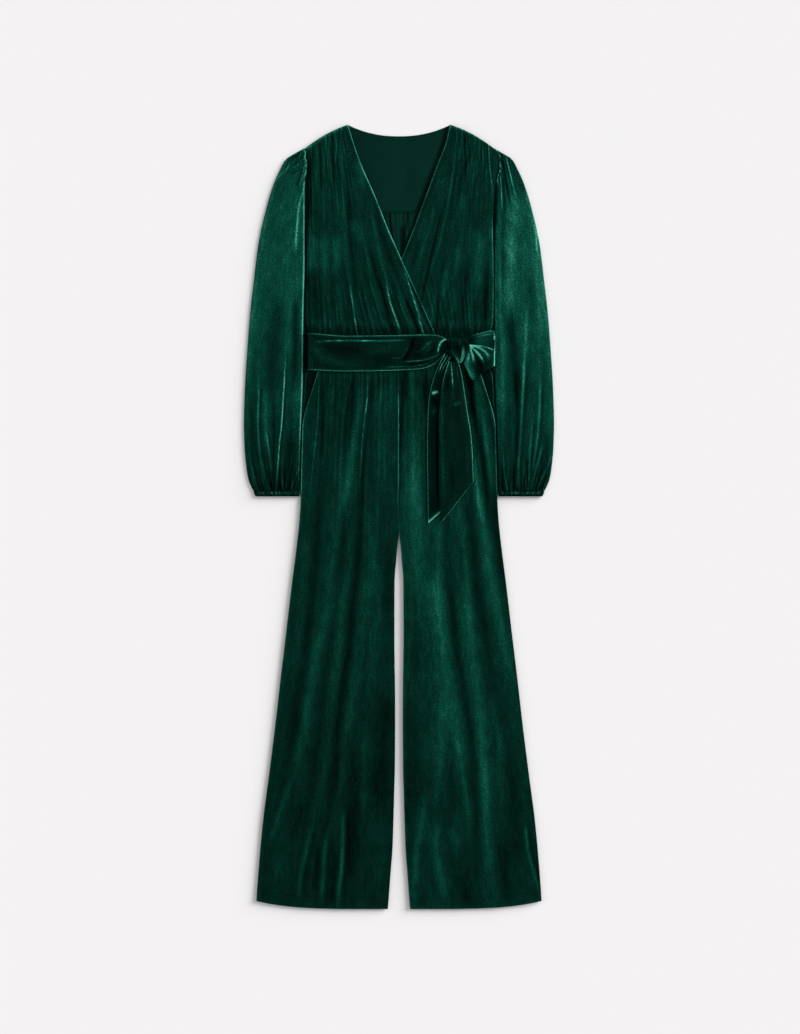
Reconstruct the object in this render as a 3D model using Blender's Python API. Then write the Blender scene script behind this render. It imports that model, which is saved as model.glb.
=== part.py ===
# Wrap jumpsuit in stretch velvet, laid flat on its back.
#
# Every length below is in millimetres. A place on the garment is given by three of them:
#   x     across, from the centre line, plus to the right as seen from above
#   drop  down the garment, from the shoulder point where the neck meets the shoulder seam
#   z     height above the surface that the garment lies on
# put() turns them into metres, with the origin under the middle of the garment and +Y to the neck.

import math
from bisect import bisect_right

import bmesh
import bpy
from mathutils import Vector
from mathutils.bvhtree import BVHTree

MM = 0.001

# Driving dimensions
GARMENT_LENGTH = 1450.0  # shoulder point to hem
WAIST_DROP = 420.0  # where the bodice meets the trousers, under the sash
CROTCH_DROP = 670.0
YOKE_DROP = 161.0  # seam between the back yoke and the gathered back
ARMHOLE_DROP = 248.0  # bottom of the armhole
CUFF_SEAM_DROP = 676.0
CUFF_DEPTH = 11.0
SHOULDER_DROP = 46.0  # outer end of the shoulder seam
SHOULDER_RISE = 5.0  # how far the shoulder seam bows up between its ends
NECK_HALF_WIDTH = 94.5
NECK_DIP = 21.0  # the back neck's lowest point, below the shoulder points
HEM_LIFT = 15.0  # the hem's outer corner is this much higher than its inner one

# Cloth
CLOTH = 1.4  # one ply of velvet
SASH_CLOTH = 2.4  # the sash is two plies, sewn as a tube and pressed
SEAM_GAP = 0.3
REST_GAP = 0.5  # between a piece and the one that it lies on
SLACK = 2.2  # air between the front and the back
ROLL = 9.0  # how far in from a seamed edge the front curves down to the back
SASH_LIFT = SASH_CLOTH + 0.6  # the back is raised this much where the sash passes under it
SASH_RAMP = 16.0  # length over which the back climbs on to the sash
SASH_TOP_DROP = 384.0
SASH_BOTTOM_DROP = 458.0


class Table:
    """Sizes in named columns. The first column is the key, and the rest are read smoothly between rows."""

    def __init__(self, columns, *rows):
        self.columns = columns.split()
        self.rows = rows
        self.keys = [row[0] for row in rows]

    def read(self, column, key):
        values = [row[self.columns.index(column)] for row in self.rows]
        keys = self.keys
        if key <= keys[0]:
            return values[0]
        if key >= keys[-1]:
            return values[-1]
        i = bisect_right(keys, key) - 1
        step = keys[i + 1] - keys[i]
        t = (key - keys[i]) / step
        start, end = self._slope(values, i) * step, self._slope(values, i + 1) * step
        low, high = values[i], values[i + 1]
        return (
            low * (2 * t**3 - 3 * t**2 + 1)
            + start * (t**3 - 2 * t**2 + t)
            + high * (3 * t**2 - 2 * t**3)
            + end * (t**3 - t**2)
        )

    def _slope(self, values, i):
        """Slope at row i that never overshoots: zero at a peak, else the harmonic mean of both sides."""
        if i == 0 or i == len(values) - 1:
            a, b = (0, 1) if i == 0 else (i - 1, i)
            return (values[b] - values[a]) / (self.keys[b] - self.keys[a])
        before = (values[i] - values[i - 1]) / (self.keys[i] - self.keys[i - 1])
        after = (values[i + 1] - values[i]) / (self.keys[i + 1] - self.keys[i])
        return 0.0 if before * after <= 0 else 2 * before * after / (before + after)

    def records(self):
        return [dict(zip(self.columns, row)) for row in self.rows]


# Outlines, each a half of the garment
SIDE_SEAM = Table(
    "drop half_width",
    (46, 176.5), (93, 175.6), (139, 176.2), (242, 175.6), (300, 175.0), (344, 174.4), (368, 173.4),
    (384, 169.8), (420, 169.0), (440, 169.1), (453, 169.8), (466, 172.8), (509, 175.6), (564, 178.2),
    (620, 179.8),
    (684, 181.4), (731, 184.1), (775, 188.7), (849, 198.0), (938, 208.5), (1027, 219.2),
    (1116, 229.4), (1204, 240.5), (1293, 252.0), (1382, 259.9), (1435, 263.6), (1450, 264.4),
)
INSEAM = Table(
    "drop half_gap",
    (420, 0.15), (752, 0.15), (775, 2.6), (797, 4.4), (849, 8.2), (953, 8.4), (1071, 7.0),
    (1175, 7.4), (1249, 9.2), (1338, 12.0), (1382, 15.4), (1426, 18.6), (1450, 20.6),
)
SLEEVE_OUTER = Table(
    "drop half_width",
    (61, 206.0), (68, 212.0), (80, 218.3), (109, 231.3), (154, 245.1), (220, 259.9),
    (287, 268.3), (353, 275.7), (420, 280.8), (487, 284.9), (553, 286.8), (598, 285.5),
    (642, 281.0), (656, 278.2), (668, 273.6), (676, 269.6),
)
SLEEVE_INNER = Table(
    "drop half_width",
    (44, 176.8), (93, 175.9), (139, 176.5), (242, 175.9), (300, 175.8), (353, 176.0),
    (420, 176.4), (487, 177.4), (553, 180.0), (620, 182.2), (676, 183.8),
)
# Edges of the two front wraps. Both run from a shoulder point across the centre to the waist.
WRAP_EDGE = Table(
    "drop lap under",
    (0, -94.5, 94.5), (34, -84.0, 86.5), (69, -71.8, 73.0), (128, -45.9, 51.0), (193, -20.0, 26.8),
    (246, 3.3, 5.0), (310, 32.0, -22.0), (385, 65.7, -56.0), (420, 80.5, -72.0),
)
POCKET_MOUTH = Table("drop half_width", (420, 139.0), (456, 150.0), (500, 164.0), (532, 174.0), (556, 178.5))
POCKET_END_DROP = 528.0

# Folds. Crest is the share of the way across, and the rest are ridge heights at named places.
WRAP_FOLDS = Table(
    "crest shoulder chest waist",
    (0.08, 1.4, 0.2, 0.6), (0.19, 2.4, 0.8, 1.6), (0.30, 2.7, 0.4, 1.0), (0.41, 2.2, 1.1, 2.6),
    (0.52, 2.6, 0.3, 1.0), (0.63, 1.8, 0.6, 3.2), (0.74, 0.8, 0.9, 1.4), (0.84, 0.3, 0.5, 3.4),
    (0.93, 0.1, 0.9, 2.4),
)
TROUSER_FOLDS = Table(
    "crest waist hip knee hem",
    (0.10, 2.0, 0.8, 0.4, 1.6), (0.23, 2.6, 1.6, 1.6, 0.5), (0.36, 2.2, 0.5, 0.6, 1.8),
    (0.49, 3.0, 2.0, 1.8, 0.6), (0.63, 2.4, 0.9, 0.3, 2.2), (0.76, 3.2, 1.2, 1.4, 1.2),
    (0.88, 2.4, 0.5, 0.5, 0.8),
)
SLEEVE_FOLDS = Table(
    "crest head elbow wrist cuff",
    (0.05, 1.4, 0.3, 0.8, 2.0), (0.15, 2.4, 1.0, 1.2, 2.6), (0.25, 2.0, 0.4, 0.6, 2.2),
    (0.35, 2.2, 1.3, 1.8, 2.8), (0.45, 1.4, 0.3, 0.7, 2.3), (0.55, 1.8, 0.8, 1.6, 2.8),
    (0.65, 1.0, 0.3, 0.8, 2.4), (0.75, 1.2, 0.9, 1.7, 2.7), (0.85, 0.7, 0.3, 0.8, 2.2),
    (0.95, 0.4, 0.5, 1.0, 1.8),
)
YOKE_GATHERS = 13
YOKE_GATHER_HEIGHT = 1.0
YOKE_GATHER_LENGTH = 70.0


def put(x, drop, z):
    return Vector((x * MM, (GARMENT_LENGTH / 2 - drop) * MM, z * MM))


def mix(a, b, t):
    return a + (b - a) * t


def ramp(value, start, end):
    """0 before start, 1 after end, and a smooth climb between."""
    t = min(max((value - start) / (end - start), 0.0), 1.0)
    return t * t * (3 - 2 * t)


def rolled(distance, radius):
    """Height share of an edge that curves over: 0 at the edge, 1 from radius inwards."""
    t = min(max(distance / radius, 0.0), 1.0)
    return math.sqrt(1 - (1 - t) ** 2)


def back_underside(drop):
    """The back lies on the surface, apart from where the sash passes beneath it."""
    on = ramp(drop, SASH_TOP_DROP - SASH_RAMP, SASH_TOP_DROP)
    off = ramp(drop, SASH_BOTTOM_DROP, SASH_BOTTOM_DROP + SASH_RAMP)
    return SASH_LIFT * (on - off)


def back_top(drop):
    return back_underside(drop) + CLOTH


def front_lift(drop):
    """The front starts to climb sooner than the back and comes down later, so that it stays clear."""
    on = ramp(drop, SASH_TOP_DROP - SASH_RAMP - 10, SASH_TOP_DROP - 8)
    off = ramp(drop, SASH_BOTTOM_DROP + 8, SASH_BOTTOM_DROP + SASH_RAMP + 10)
    return SASH_LIFT * (on - off)


def front_level(drop):
    """Top of a front panel between its folds."""
    return CLOTH + front_lift(drop) + SLACK + CLOTH


def closed_edge(drop):
    """Top of a front panel where it is sewn to the back."""
    return CLOTH + front_lift(drop) + SEAM_GAP + CLOTH


def fold_columns(folds, per_fold):
    """Shares of the way across: each crest, each valley and, with four to a fold, the slopes between."""
    crests = [fold["crest"] for fold in folds]
    valleys = [(a + b) / 2 for a, b in zip(crests, crests[1:])]
    stops = sorted(crests + valleys)
    stops = [2 * crests[0] - stops[1]] + stops + [2 * crests[-1] - stops[-2]]
    if per_fold == 4:
        stops = sorted(stops + [(a + b) / 2 for a, b in zip(stops, stops[1:])])
    return stops


def fold_height(folds, places, u, where):
    """Height of the gathers at u. places names the columns to read and the position of each along where."""
    names = list(places)
    keys = [places[name] for name in names]
    crests = [fold["crest"] for fold in folds]
    nearest = min(range(len(crests)), key=lambda i: abs(crests[i] - u))
    crest, fold = crests[nearest], folds[nearest]
    beside = nearest + (1 if u > crest else -1)
    if 0 <= beside < len(crests):
        reach = abs(crests[beside] - crest) / 2
    else:
        reach = abs(crests[1] - crests[0]) / 2
    if abs(u - crest) >= reach:
        return 0.0
    height = Table("key height", *[(k, fold[n]) for k, n in zip(keys, names)]).read("height", where)
    return height * math.cos(math.pi / 2 * abs(u - crest) / reach)


# Making solids
PIECES = {}


def velvet(name, colour, roughness):
    """The material of one kind of cloth."""
    material = bpy.data.materials.new(name)
    material.use_nodes = True
    surface = material.node_tree.nodes["Principled BSDF"]
    surface.inputs["Base Color"].default_value = (*colour, 1.0)
    surface.inputs["Roughness"].default_value = roughness
    surface.inputs["Metallic"].default_value = 0.0
    surface.inputs["Sheen Weight"].default_value = 0.6
    return material


def sheet(name, outer, inner, material):
    """A closed wall between two grids of points, which have the same rows and columns."""
    rows, columns = len(outer), len(outer[0])
    body = bmesh.new()
    faces = []
    front = [[body.verts.new(p) for p in row] for row in outer]
    rear = [[body.verts.new(p) for p in row] for row in inner]
    for i in range(rows - 1):
        for j in range(columns - 1):
            faces.append((front[i][j], front[i + 1][j], front[i + 1][j + 1], front[i][j + 1]))
            faces.append((rear[i][j], rear[i][j + 1], rear[i + 1][j + 1], rear[i + 1][j]))
    for i in range(rows - 1):
        faces.append((front[i][0], rear[i][0], rear[i + 1][0], front[i + 1][0]))
        faces.append((front[i][-1], front[i + 1][-1], rear[i + 1][-1], rear[i][-1]))
    for j in range(columns - 1):
        faces.append((front[0][j], front[0][j + 1], rear[0][j + 1], rear[0][j]))
        faces.append((front[-1][j], rear[-1][j], rear[-1][j + 1], front[-1][j + 1]))
    for corners in faces:
        body.faces.new(corners)
    bmesh.ops.recalc_face_normals(body, faces=body.faces)
    bmesh.ops.triangulate(body, faces=body.faces)
    mesh = bpy.data.meshes.new(name)
    body.to_mesh(mesh)
    PIECES[name] = BVHTree.FromBMesh(body)
    body.free()
    mesh.shade_smooth()
    mesh.set_sharp_from_angle(angle=math.radians(50))
    mesh.materials.append(material)
    piece = bpy.data.objects.new(name, mesh)
    bpy.context.scene.collection.objects.link(piece)
    return piece


def lowered(grid, thickness):
    """The same grid, straight down by the wall's thickness."""
    return [[p - Vector((0, 0, thickness * MM)) for p in row] for row in grid]


def inset(grid, thickness, side):
    """The same grid, moved in along its normals. side is 1 or -1, for the way the columns run."""
    rows, columns = len(grid), len(grid[0])
    moved = []
    for i in range(rows):
        row = []
        for j in range(columns):
            along = grid[min(i + 1, rows - 1)][j] - grid[max(i - 1, 0)][j]
            across = grid[i][min(j + 1, columns - 1)] - grid[i][max(j - 1, 0)]
            normal = along.cross(across).normalized() * side
            row.append(grid[i][j] - normal * thickness * MM)
        moved.append(row)
    return moved


def top_of_pieces(x, drop, names):
    """Height of the highest named piece at one place, or 0."""
    start = put(x, drop, 200.0)
    tops = [0.0]
    for name in names:
        hit = PIECES[name].ray_cast(start, Vector((0, 0, -1)))[0]
        if hit is not None:
            tops.append(hit.z / MM)
    return max(tops)


def resting_height(x, drop, names, reach=6.0):
    """Height at which stiff cloth lies on the named pieces: above all within reach, then smoothed."""
    steps = (-1, 0, 1)

    def highest(cx, cd):
        return max(top_of_pieces(cx + i * reach, cd + j * reach, names) for i in steps for j in steps)

    half = reach / 2
    around = [(0, 0), (half, 0), (-half, 0), (0, half), (0, -half)]
    return sum(highest(x + dx, drop + dd) for dx, dd in around) / len(around) + REST_GAP


# Back of the garment
def neck_drop(x):
    """Back neckline: a shallow scoop between the shoulder points."""
    return NECK_DIP * (1 - min(abs(x) / NECK_HALF_WIDTH, 1.0) ** 2.2)


def shoulder_drop(x):
    """Shoulder seam, from the neck out to the armhole."""
    half = SIDE_SEAM.read("half_width", SHOULDER_DROP)
    t = min(max((abs(x) - NECK_HALF_WIDTH) / (half - NECK_HALF_WIDTH), 0.0), 1.0)
    return SHOULDER_DROP * t - SHOULDER_RISE * 4 * t * (1 - t)


def upper_edge(x):
    return neck_drop(x) if abs(x) < NECK_HALF_WIDTH else shoulder_drop(x)


def make_back_yoke(material):
    rows = []
    across = [i / 10 - 1 for i in range(21)]
    for down in (0.0, 0.3, 0.65, 1.0):
        row = []
        for share in across:
            level = mix(SHOULDER_DROP, YOKE_DROP, down)
            x = share * SIDE_SEAM.read("half_width", level)
            drop = mix(upper_edge(x), YOKE_DROP - SEAM_GAP / 2, down)
            row.append(put(x, drop, CLOTH))
        rows.append(row)
    sheet("back_yoke", rows, lowered(rows, CLOTH), material)


def make_back_bodice(material):
    """Lower back, gathered into the yoke seam."""
    cells = 2 * YOKE_GATHERS
    rows = []
    for drop in (YOKE_DROP + SEAM_GAP / 2, 182, 215, 240, 360, 368, 376, 384, WAIST_DROP - SEAM_GAP / 2):
        half = SIDE_SEAM.read("half_width", drop)
        fade = 1 - ramp(drop, YOKE_DROP + 10, YOKE_DROP + YOKE_GATHER_LENGTH)
        row = []
        for j in range(cells + 1):
            ridge = YOKE_GATHER_HEIGHT * fade if j % 2 else 0.0
            row.append(put(half * (2 * j / cells - 1), drop, back_top(drop) + ridge))
        rows.append(row)
    sheet("back_bodice", rows, lowered(rows, CLOTH), material)


def hem_drop(u):
    """The hem curves up to its outer corner, where u is 0."""
    return GARMENT_LENGTH - HEM_LIFT * (1 - u) ** 4


def trouser_row_drop(level, u):
    """Rows are level at the waist and follow the hem's curve at the bottom."""
    bend = ramp(level, 1000, GARMENT_LENGTH)
    return level - (GARMENT_LENGTH - hem_drop(u)) * bend


def make_trouser_back(side, name, material):
    levels = [WAIST_DROP + SEAM_GAP / 2, 440, 453, 466, 474, 540, 660, 760, 860, 1000, 1200, 1380, 1450]
    rows = []
    for level in levels:
        row = []
        for u in (0.0, 0.08, 0.25, 0.5, 0.75, 0.92, 1.0):
            drop = trouser_row_drop(level, u)
            x = mix(SIDE_SEAM.read("half_width", drop), INSEAM.read("half_gap", drop), u)
            row.append(put(side * x, drop, back_top(drop)))
        rows.append(row)
    sheet(name, rows, lowered(rows, CLOTH), material)


# Front of the bodice
def in_armhole(drop):
    """1 beside the armhole, where front and back stay apart, and 0 below it."""
    return 1 - ramp(drop, ARMHOLE_DROP - 14, ARMHOLE_DROP + 12)


def make_wrap(side, column, name, material):
    """One front. side is -1 for the front that laps over, and 1 for the one beneath it."""
    folds = WRAP_FOLDS.records()
    places = {"shoulder": 60.0, "chest": 200.0, "waist": 380.0}
    shares = [0.0, 0.02] + fold_columns(folds, 4) + [1.0]
    laps_over = column == "lap"
    last = WAIST_DROP - SEAM_GAP / 2
    rows = []
    for level in (0.0, 12, 32, 70, 120, 175, 215, 245, 275, 310, 345, 368, 384, last):
        side_drop = level + SHOULDER_DROP * (1 - level / last) ** 1.6
        side_x = side * (SIDE_SEAM.read("half_width", side_drop) - SEAM_GAP / 2)
        edge_x = WRAP_EDGE.read(column, level)
        width = abs(side_x - edge_x)
        row = []
        for u in shares:
            x = mix(side_x, edge_x, u)
            bow = SHOULDER_RISE * 4 * u * (1 - u) * (1 - level / last) ** 4
            drop = mix(side_drop, level, u) - bow
            full = front_level(drop) + wrap_fold(folds, places, u, x, drop, laps_over)
            low = mix(closed_edge(drop), front_level(drop) - 0.8, in_armhole(drop))
            z = mix(low, full, rolled(u * width, ROLL))
            if laps_over:
                z += over_the_other(x, drop)
            z -= 0.9 * (1 - ramp((1 - u) * width, 0, 16)) * (1 - ramp(drop, 190, 215))
            z = mix(closed_edge(drop), z, rolled(level + 0.5, 12))
            row.append(put(x, drop, z))
        rows.append(row)
    sheet(name, rows, lowered(rows, CLOTH), material)


def wrap_fold(folds, places, u, x, drop, laps_over):
    """Height of a front's folds. They are pressed flat beneath the sash and beneath the other front."""
    height = fold_height(folds, places, u, drop) * (1 - 0.75 * ramp(drop, 368, 388))
    if not laps_over:
        lap_edge = WRAP_EDGE.read("lap", drop)
        height *= ramp(x, lap_edge + 4, lap_edge + 26)
    return height


def over_the_other(x, drop):
    """Extra height of the front that laps over, from a little before the other front's hidden edge."""
    hidden_edge = WRAP_EDGE.read("under", drop)
    return (CLOTH + 1.1) * ramp(x, hidden_edge - 32, hidden_edge - 12)


# Front of the trousers
def make_trouser_front(side, name, material):
    folds = TROUSER_FOLDS.records()
    places = {"waist": 475.0, "hip": 610.0, "knee": 1050.0, "hem": 1400.0}
    shares = [0.0, 0.02] + fold_columns(folds, 4) + [0.98, 1.0]
    levels = [WAIST_DROP + SEAM_GAP / 2, 453, 474, 503, 532, 566, 660, 760, 860, 1000, 1200, 1380, 1450]
    rows = []
    for level in levels:
        row = []
        for u in shares:
            drop = trouser_row_drop(level, u)
            outer = SIDE_SEAM.read("half_width", drop)
            if drop < POCKET_MOUTH.keys[-1]:
                outer = min(outer, POCKET_MOUTH.read("half_width", drop))
            inner = INSEAM.read("half_gap", drop)
            fold = fold_height(folds, places, u, drop) * mix(0.3, 1.0, ramp(drop, 448, 470))
            full = front_level(drop) + fold
            over_pocket = 1 - ramp(drop, POCKET_END_DROP + 4, POCKET_END_DROP + 34)
            low_out = mix(closed_edge(drop), front_level(drop) - 0.2, over_pocket)
            below_crotch = ramp(drop, CROTCH_DROP - 20, CROTCH_DROP + 30)
            low_in = mix(front_level(drop) - 1.0, closed_edge(drop), below_crotch)
            z = mix(low_out, full, rolled(u * (outer - inner), ROLL))
            z = mix(low_in, z, rolled((1 - u) * (outer - inner), ROLL))
            row.append(put(side * mix(outer, inner, u), drop, z))
        rows.append(row)
    sheet(name, rows, lowered(rows, CLOTH), material)


def make_pocket_facing(side, name, material):
    """Cloth that shows in the pocket's slanted mouth. It lies on the back and runs in under the front."""
    underlap = 14.0
    thickness = 1.2
    rows = []
    for drop in (WAIST_DROP + SEAM_GAP / 2, 440, 453, 474, 503, POCKET_END_DROP):
        outer = SIDE_SEAM.read("half_width", drop)
        inner = POCKET_MOUTH.read("half_width", drop) - underlap
        z = CLOTH + front_lift(drop) + 0.4 + thickness
        rows.append([put(side * mix(outer, inner, u), drop, z) for u in (0.0, 0.35, 0.7, 1.0)])
    sheet(name, rows, lowered(rows, thickness), material)


# Sleeves
SLEEVE_PUFF = 1.8  # how much higher than its edges the middle of a sleeve lies
CUFF_CLOTH = 2.2  # the cuff's casing holds its elastic between two plies
CUFF_SLACK = 1.6
HEAD_ROLL = 4.0


def flat_tube(side, inner, outer, wall, slack, shares, crown, closed, head=1.0):
    """One ring of a tube that lies flat, as pairs of a point and the way in from it.

    It starts at the seam on the inner edge, goes over the top, round the folded outer edge and back
    beneath. crown(share, drop) is the height on top. closed is 0 where the seam is open, as at the
    armhole, and head is 0 at the very end of the sleeve head, where top and underside meet."""
    (x_in, drop_in), (x_out, drop_out) = inner, outer
    middle = wall + slack / 2
    level = 2 * middle
    half_seam = SEAM_GAP / 2
    ring = []

    def add(x, z, inward_x, inward_z, share=0.0):
        drop = mix(drop_in, drop_out, (x - x_in) / (x_out - x_in))
        if share:
            z = crown(share, drop)
        meet = middle + (half_seam if inward_z < 0 else -half_seam if inward_z > 0 else 0.0)
        inward = Vector((side * inward_x * head, -(1 - head), inward_z * head)).normalized()
        ring.append((put(side * x, drop, mix(meet, z, head)), inward))

    open_top = level - 0.8
    add(x_in, mix(open_top, middle + half_seam, closed), closed, closed - 1 - 1e-6)
    add(x_in + 0.3 * middle, mix(level - 0.4, 1.7 * middle, closed), 0.7 * closed, -1 + 0.3 * closed)
    for share in shares:
        add(mix(x_in + middle, x_out - middle, share), 0, 0, -1, share)
    for angle in (50, 0, -50):
        c, s = math.cos(math.radians(angle)), math.sin(math.radians(angle))
        add(x_out - middle * (1 - c), middle * (1 + s), -c, -s)
    for share in (1.0, 0.75, 0.5, 0.25, 0.0):
        add(mix(x_in + middle, x_out - middle, share), 0, 0, 1)
    add(x_in + 0.3 * middle, 0.3 * middle * closed, 0.7 * closed, 1 - 0.3 * closed)
    add(x_in, (middle - half_seam) * closed, closed, 1 - closed + 1e-6)
    return ring


def tube_sheet(name, rings, wall, material):
    outer = [[point for point, _ in ring] for ring in rings]
    inner = [[point + inward * wall * MM for point, inward in ring] for ring in rings]
    sheet(name, outer, inner, material)


def make_sleeve(side, name, material):
    """A full sleeve cut in one piece: folded at its outer edge, its two edges meet in the underarm seam."""
    folds = SLEEVE_FOLDS.records()
    places = {"head": 100.0, "elbow": 360.0, "wrist": 590.0, "cuff": 655.0}
    shares = [0.0001] + fold_columns(folds, 2)[1:-1] + [1.0]
    start_in, start_out = SLEEVE_INNER.keys[0], SLEEVE_OUTER.keys[0]
    last = CUFF_SEAM_DROP - SEAM_GAP / 2
    length = last - start_in
    level = 2 * CLOTH + SLACK

    def crown(share, drop):
        puff = SLEEVE_PUFF * math.sin(math.pi * share) * ramp(drop, 50, 200)
        return level + puff + fold_height(folds, places, share, drop)

    rings = []
    for down in (0, 1.4, 4, 20, 60, 120, 190, 216, 320, 430, 520, 580, 610, length):
        drop_in, drop_out = start_in + down, mix(start_out, last, down / length)
        inner = (SLEEVE_INNER.read("half_width", drop_in), drop_in)
        outer = (SLEEVE_OUTER.read("half_width", drop_out), drop_out)
        closed = 1 - in_armhole(drop_in)
        head = rolled(down, HEAD_ROLL)
        rings.append(flat_tube(side, inner, outer, CLOTH, SLACK, shares, crown, closed, head))
    tube_sheet(name, rings, CLOTH, material)


def make_cuff(side, name, material):
    """Narrow elastic cuff: a casing as wide as the gathered sleeve end, puckered on top."""
    start, end = CUFF_SEAM_DROP + SEAM_GAP / 2, CUFF_SEAM_DROP + CUFF_DEPTH
    puckers = 9
    level = 2 * CUFF_CLOTH + CUFF_SLACK
    shares = [max(i / (2 * puckers), 0.0001) for i in range(2 * puckers + 1)]

    def crown(share, drop):
        return level + 1.0 * math.sin(math.pi * puckers * share) ** 2

    x_in = SLEEVE_INNER.read("half_width", CUFF_SEAM_DROP)
    x_out = SLEEVE_OUTER.read("half_width", CUFF_SEAM_DROP)
    rings = []
    for drop, taper in ((start, 0.6), ((start + end) / 2, 1.6), (end, 4.4)):
        inner, outer = (x_in + 0.4, drop), (x_out - taper, drop)
        rings.append(flat_tube(side, inner, outer, CUFF_CLOTH, CUFF_SLACK, shares, crown, 1.0))
    tube_sheet(name, rings, CUFF_CLOTH, material)


# Sash
SASH_EDGES = Table(
    "x top bottom",
    (-160, 387, 453), (-93, 391, 456), (0, 390, 454), (43, 389, 451), (64, 389, 443), (80, 393, 428),
    (92, 400, 416),
)
SASH_RIGHT_EDGES = Table("x top bottom", (124, 402, 424), (140, 396, 438), (160, 388, 452))
SASH_SIDE = 174.6  # half the width of the sash where it turns round the waist
SASH_ACROSS = (0.0, 0.12, 0.35, 0.65, 0.88, 1.0)
SASH_BELOW = (
    "wrap_lap", "wrap_under", "trouser_front_left", "trouser_front_right", "pocket_left", "pocket_right",
)


def sash_crown(v):
    """The pressed tube is a little thicker along its middle than at its folded edges."""
    return 1.1 * math.sin(math.pi * v) ** 0.6


def sash_turn(side, top_z):
    """Section of the sash round the side of the waist, from the front down to the surface."""
    return [
        (side * (SASH_SIDE - 7.0), top_z - 0.3), (side * (SASH_SIDE - 3.2), top_z - 1.0),
        (side * (SASH_SIDE - 0.9), top_z - 3.0), (side * SASH_SIDE, top_z / 2),
        (side * (SASH_SIDE - 0.9), 2.2), (side * (SASH_SIDE - 3.4), 0.35), (side * (SASH_SIDE - 8.0), 0.0),
    ]


def make_sash_band(material):
    """The sash goes once round the waist, and both its ends run in under the knot."""
    rows = []

    def front_row(x, edges):
        top, bottom = edges.read("top", x), edges.read("bottom", x)
        row = []
        for v in SASH_ACROSS:
            drop = mix(top, bottom, v)
            z = resting_height(x, drop, SASH_BELOW) + SASH_CLOTH + sash_crown(v)
            row.append(put(x, drop, z))
        return row

    def turn_rows(side, edges, x_edge):
        top, bottom = edges.read("top", x_edge), edges.read("bottom", x_edge)
        height = resting_height(x_edge, (top + bottom) / 2, SASH_BELOW) + SASH_CLOTH + 0.4
        return [[put(x, mix(top, bottom, v), z) for v in SASH_ACROSS] for x, z in sash_turn(side, height)]

    for x in (92, 86, 78, 68, 56, 40, 20, 0, -20, -40, -60, -80, -100, -120, -140, -157):
        rows.append(front_row(x, SASH_EDGES))
    rows += turn_rows(-1, SASH_EDGES, -160)
    for x in (-120, -60, 0, 60, 120):
        rows.append([put(x, mix(387, 453, v), 0.0) for v in SASH_ACROSS])
    rows += reversed(turn_rows(1, SASH_RIGHT_EDGES, 160))
    for x in (157, 146, 134, 124):
        rows.append(front_row(x, SASH_RIGHT_EDGES))
    sheet("sash_band", rows, inset(rows, SASH_CLOTH, 1), material)


# The tails' two long edges at each station, from the knot to the slanted end
TAIL_UNDER = Table(
    "station left_x left_drop right_x right_drop",
    (0, 84, 424, 108, 436), (1, 74, 444, 108, 452), (2, 63, 472, 107, 474), (3, 55, 511, 108, 512),
    (4, 52.5, 560, 114, 560), (5, 52, 610, 118, 606), (6, 53, 670, 119, 648), (7, 54, 737, 120, 677),
)
TAIL_OVER = Table(
    "station left_x left_drop right_x right_drop",
    (0, 92, 438, 110, 440), (1, 84, 462, 116, 462), (2, 78, 494, 121, 494), (3, 74, 532, 127, 534),
    (4, 73, 575, 133, 572), (5, 73.5, 640, 136, 612), (6, 75, 702, 137, 644), (7, 80, 733, 138, 659),
)


def make_tail(edges, name, below, material):
    """One free end of the sash, laid on what is beneath it."""
    stations = [i * edges.keys[-1] / 11 for i in range(12)]
    rows = []
    for s in stations:
        row = []
        for v in (0.0, 0.15, 0.38, 0.62, 0.85, 1.0):
            x = mix(edges.read("left_x", s), edges.read("right_x", s), v)
            drop = mix(edges.read("left_drop", s), edges.read("right_drop", s), v)
            gather = 1.6 * (1 - ramp(s, 0, 2.5)) * math.cos(4 * math.pi * v)
            z = resting_height(x, drop, below) + SASH_CLOTH + 0.5 * sash_crown(v) + max(gather, 0.0)
            row.append(put(x, drop, z))
        rows.append(row)
    sheet(name, rows, lowered(rows, SASH_CLOTH), material)


# The bow's one loop: out from the knot beneath, over its far end, and back on top
LOOP = Table(
    "station upper_x upper_drop lower_x lower_drop lift",
    (0, 127, 396, 124, 428, 0.0), (1, 139, 389, 140, 434, 0.3), (2, 154, 385, 155, 438, 0.8),
    (3, 167, 382, 167, 441, 1.8), (4, 175.0, 382, 175.0, 443, 5.2), (5, 177.2, 394, 176.8, 446, 9.6),
    (6, 172.5, 409, 168.5, 449, 13.0), (7, 161, 411.5, 154, 457, 14.6), (8, 145, 409, 136.5, 473, 13.6),
    (9, 130, 407.5, 120.5, 443, 10.5),
)


def make_bow_loop(below, material):
    rows = []
    for s in [i / 2 for i in range(19)]:
        row = []
        for v in (0.0, 0.14, 0.28, 0.42, 0.58, 0.72, 0.86, 1.0):
            x = mix(LOOP.read("upper_x", s), LOOP.read("lower_x", s), v)
            drop = mix(LOOP.read("upper_drop", s), LOOP.read("lower_drop", s), v)
            pleat = 1.3 * ramp(s, 6.0, 8.5) * math.sin(3 * math.pi * v) ** 2
            bed = resting_height(min(x, 168), drop, below)
            row.append(put(x, drop, bed + LOOP.read("lift", s) + pleat))
        rows.append(row)
    sheet("sash_loop", rows, inset(rows, SASH_CLOTH, 1), material)


KNOT = Table(
    "drop centre half_width height",
    (395.5, 106, 14.0, 3.0), (401, 106, 20.0, 7.5), (411, 106.5, 23.0, 10.5), (423, 108, 20.5, 10.0),
    (433, 109.5, 14.0, 7.0), (441.5, 111, 7.5, 3.5),
)


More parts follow.
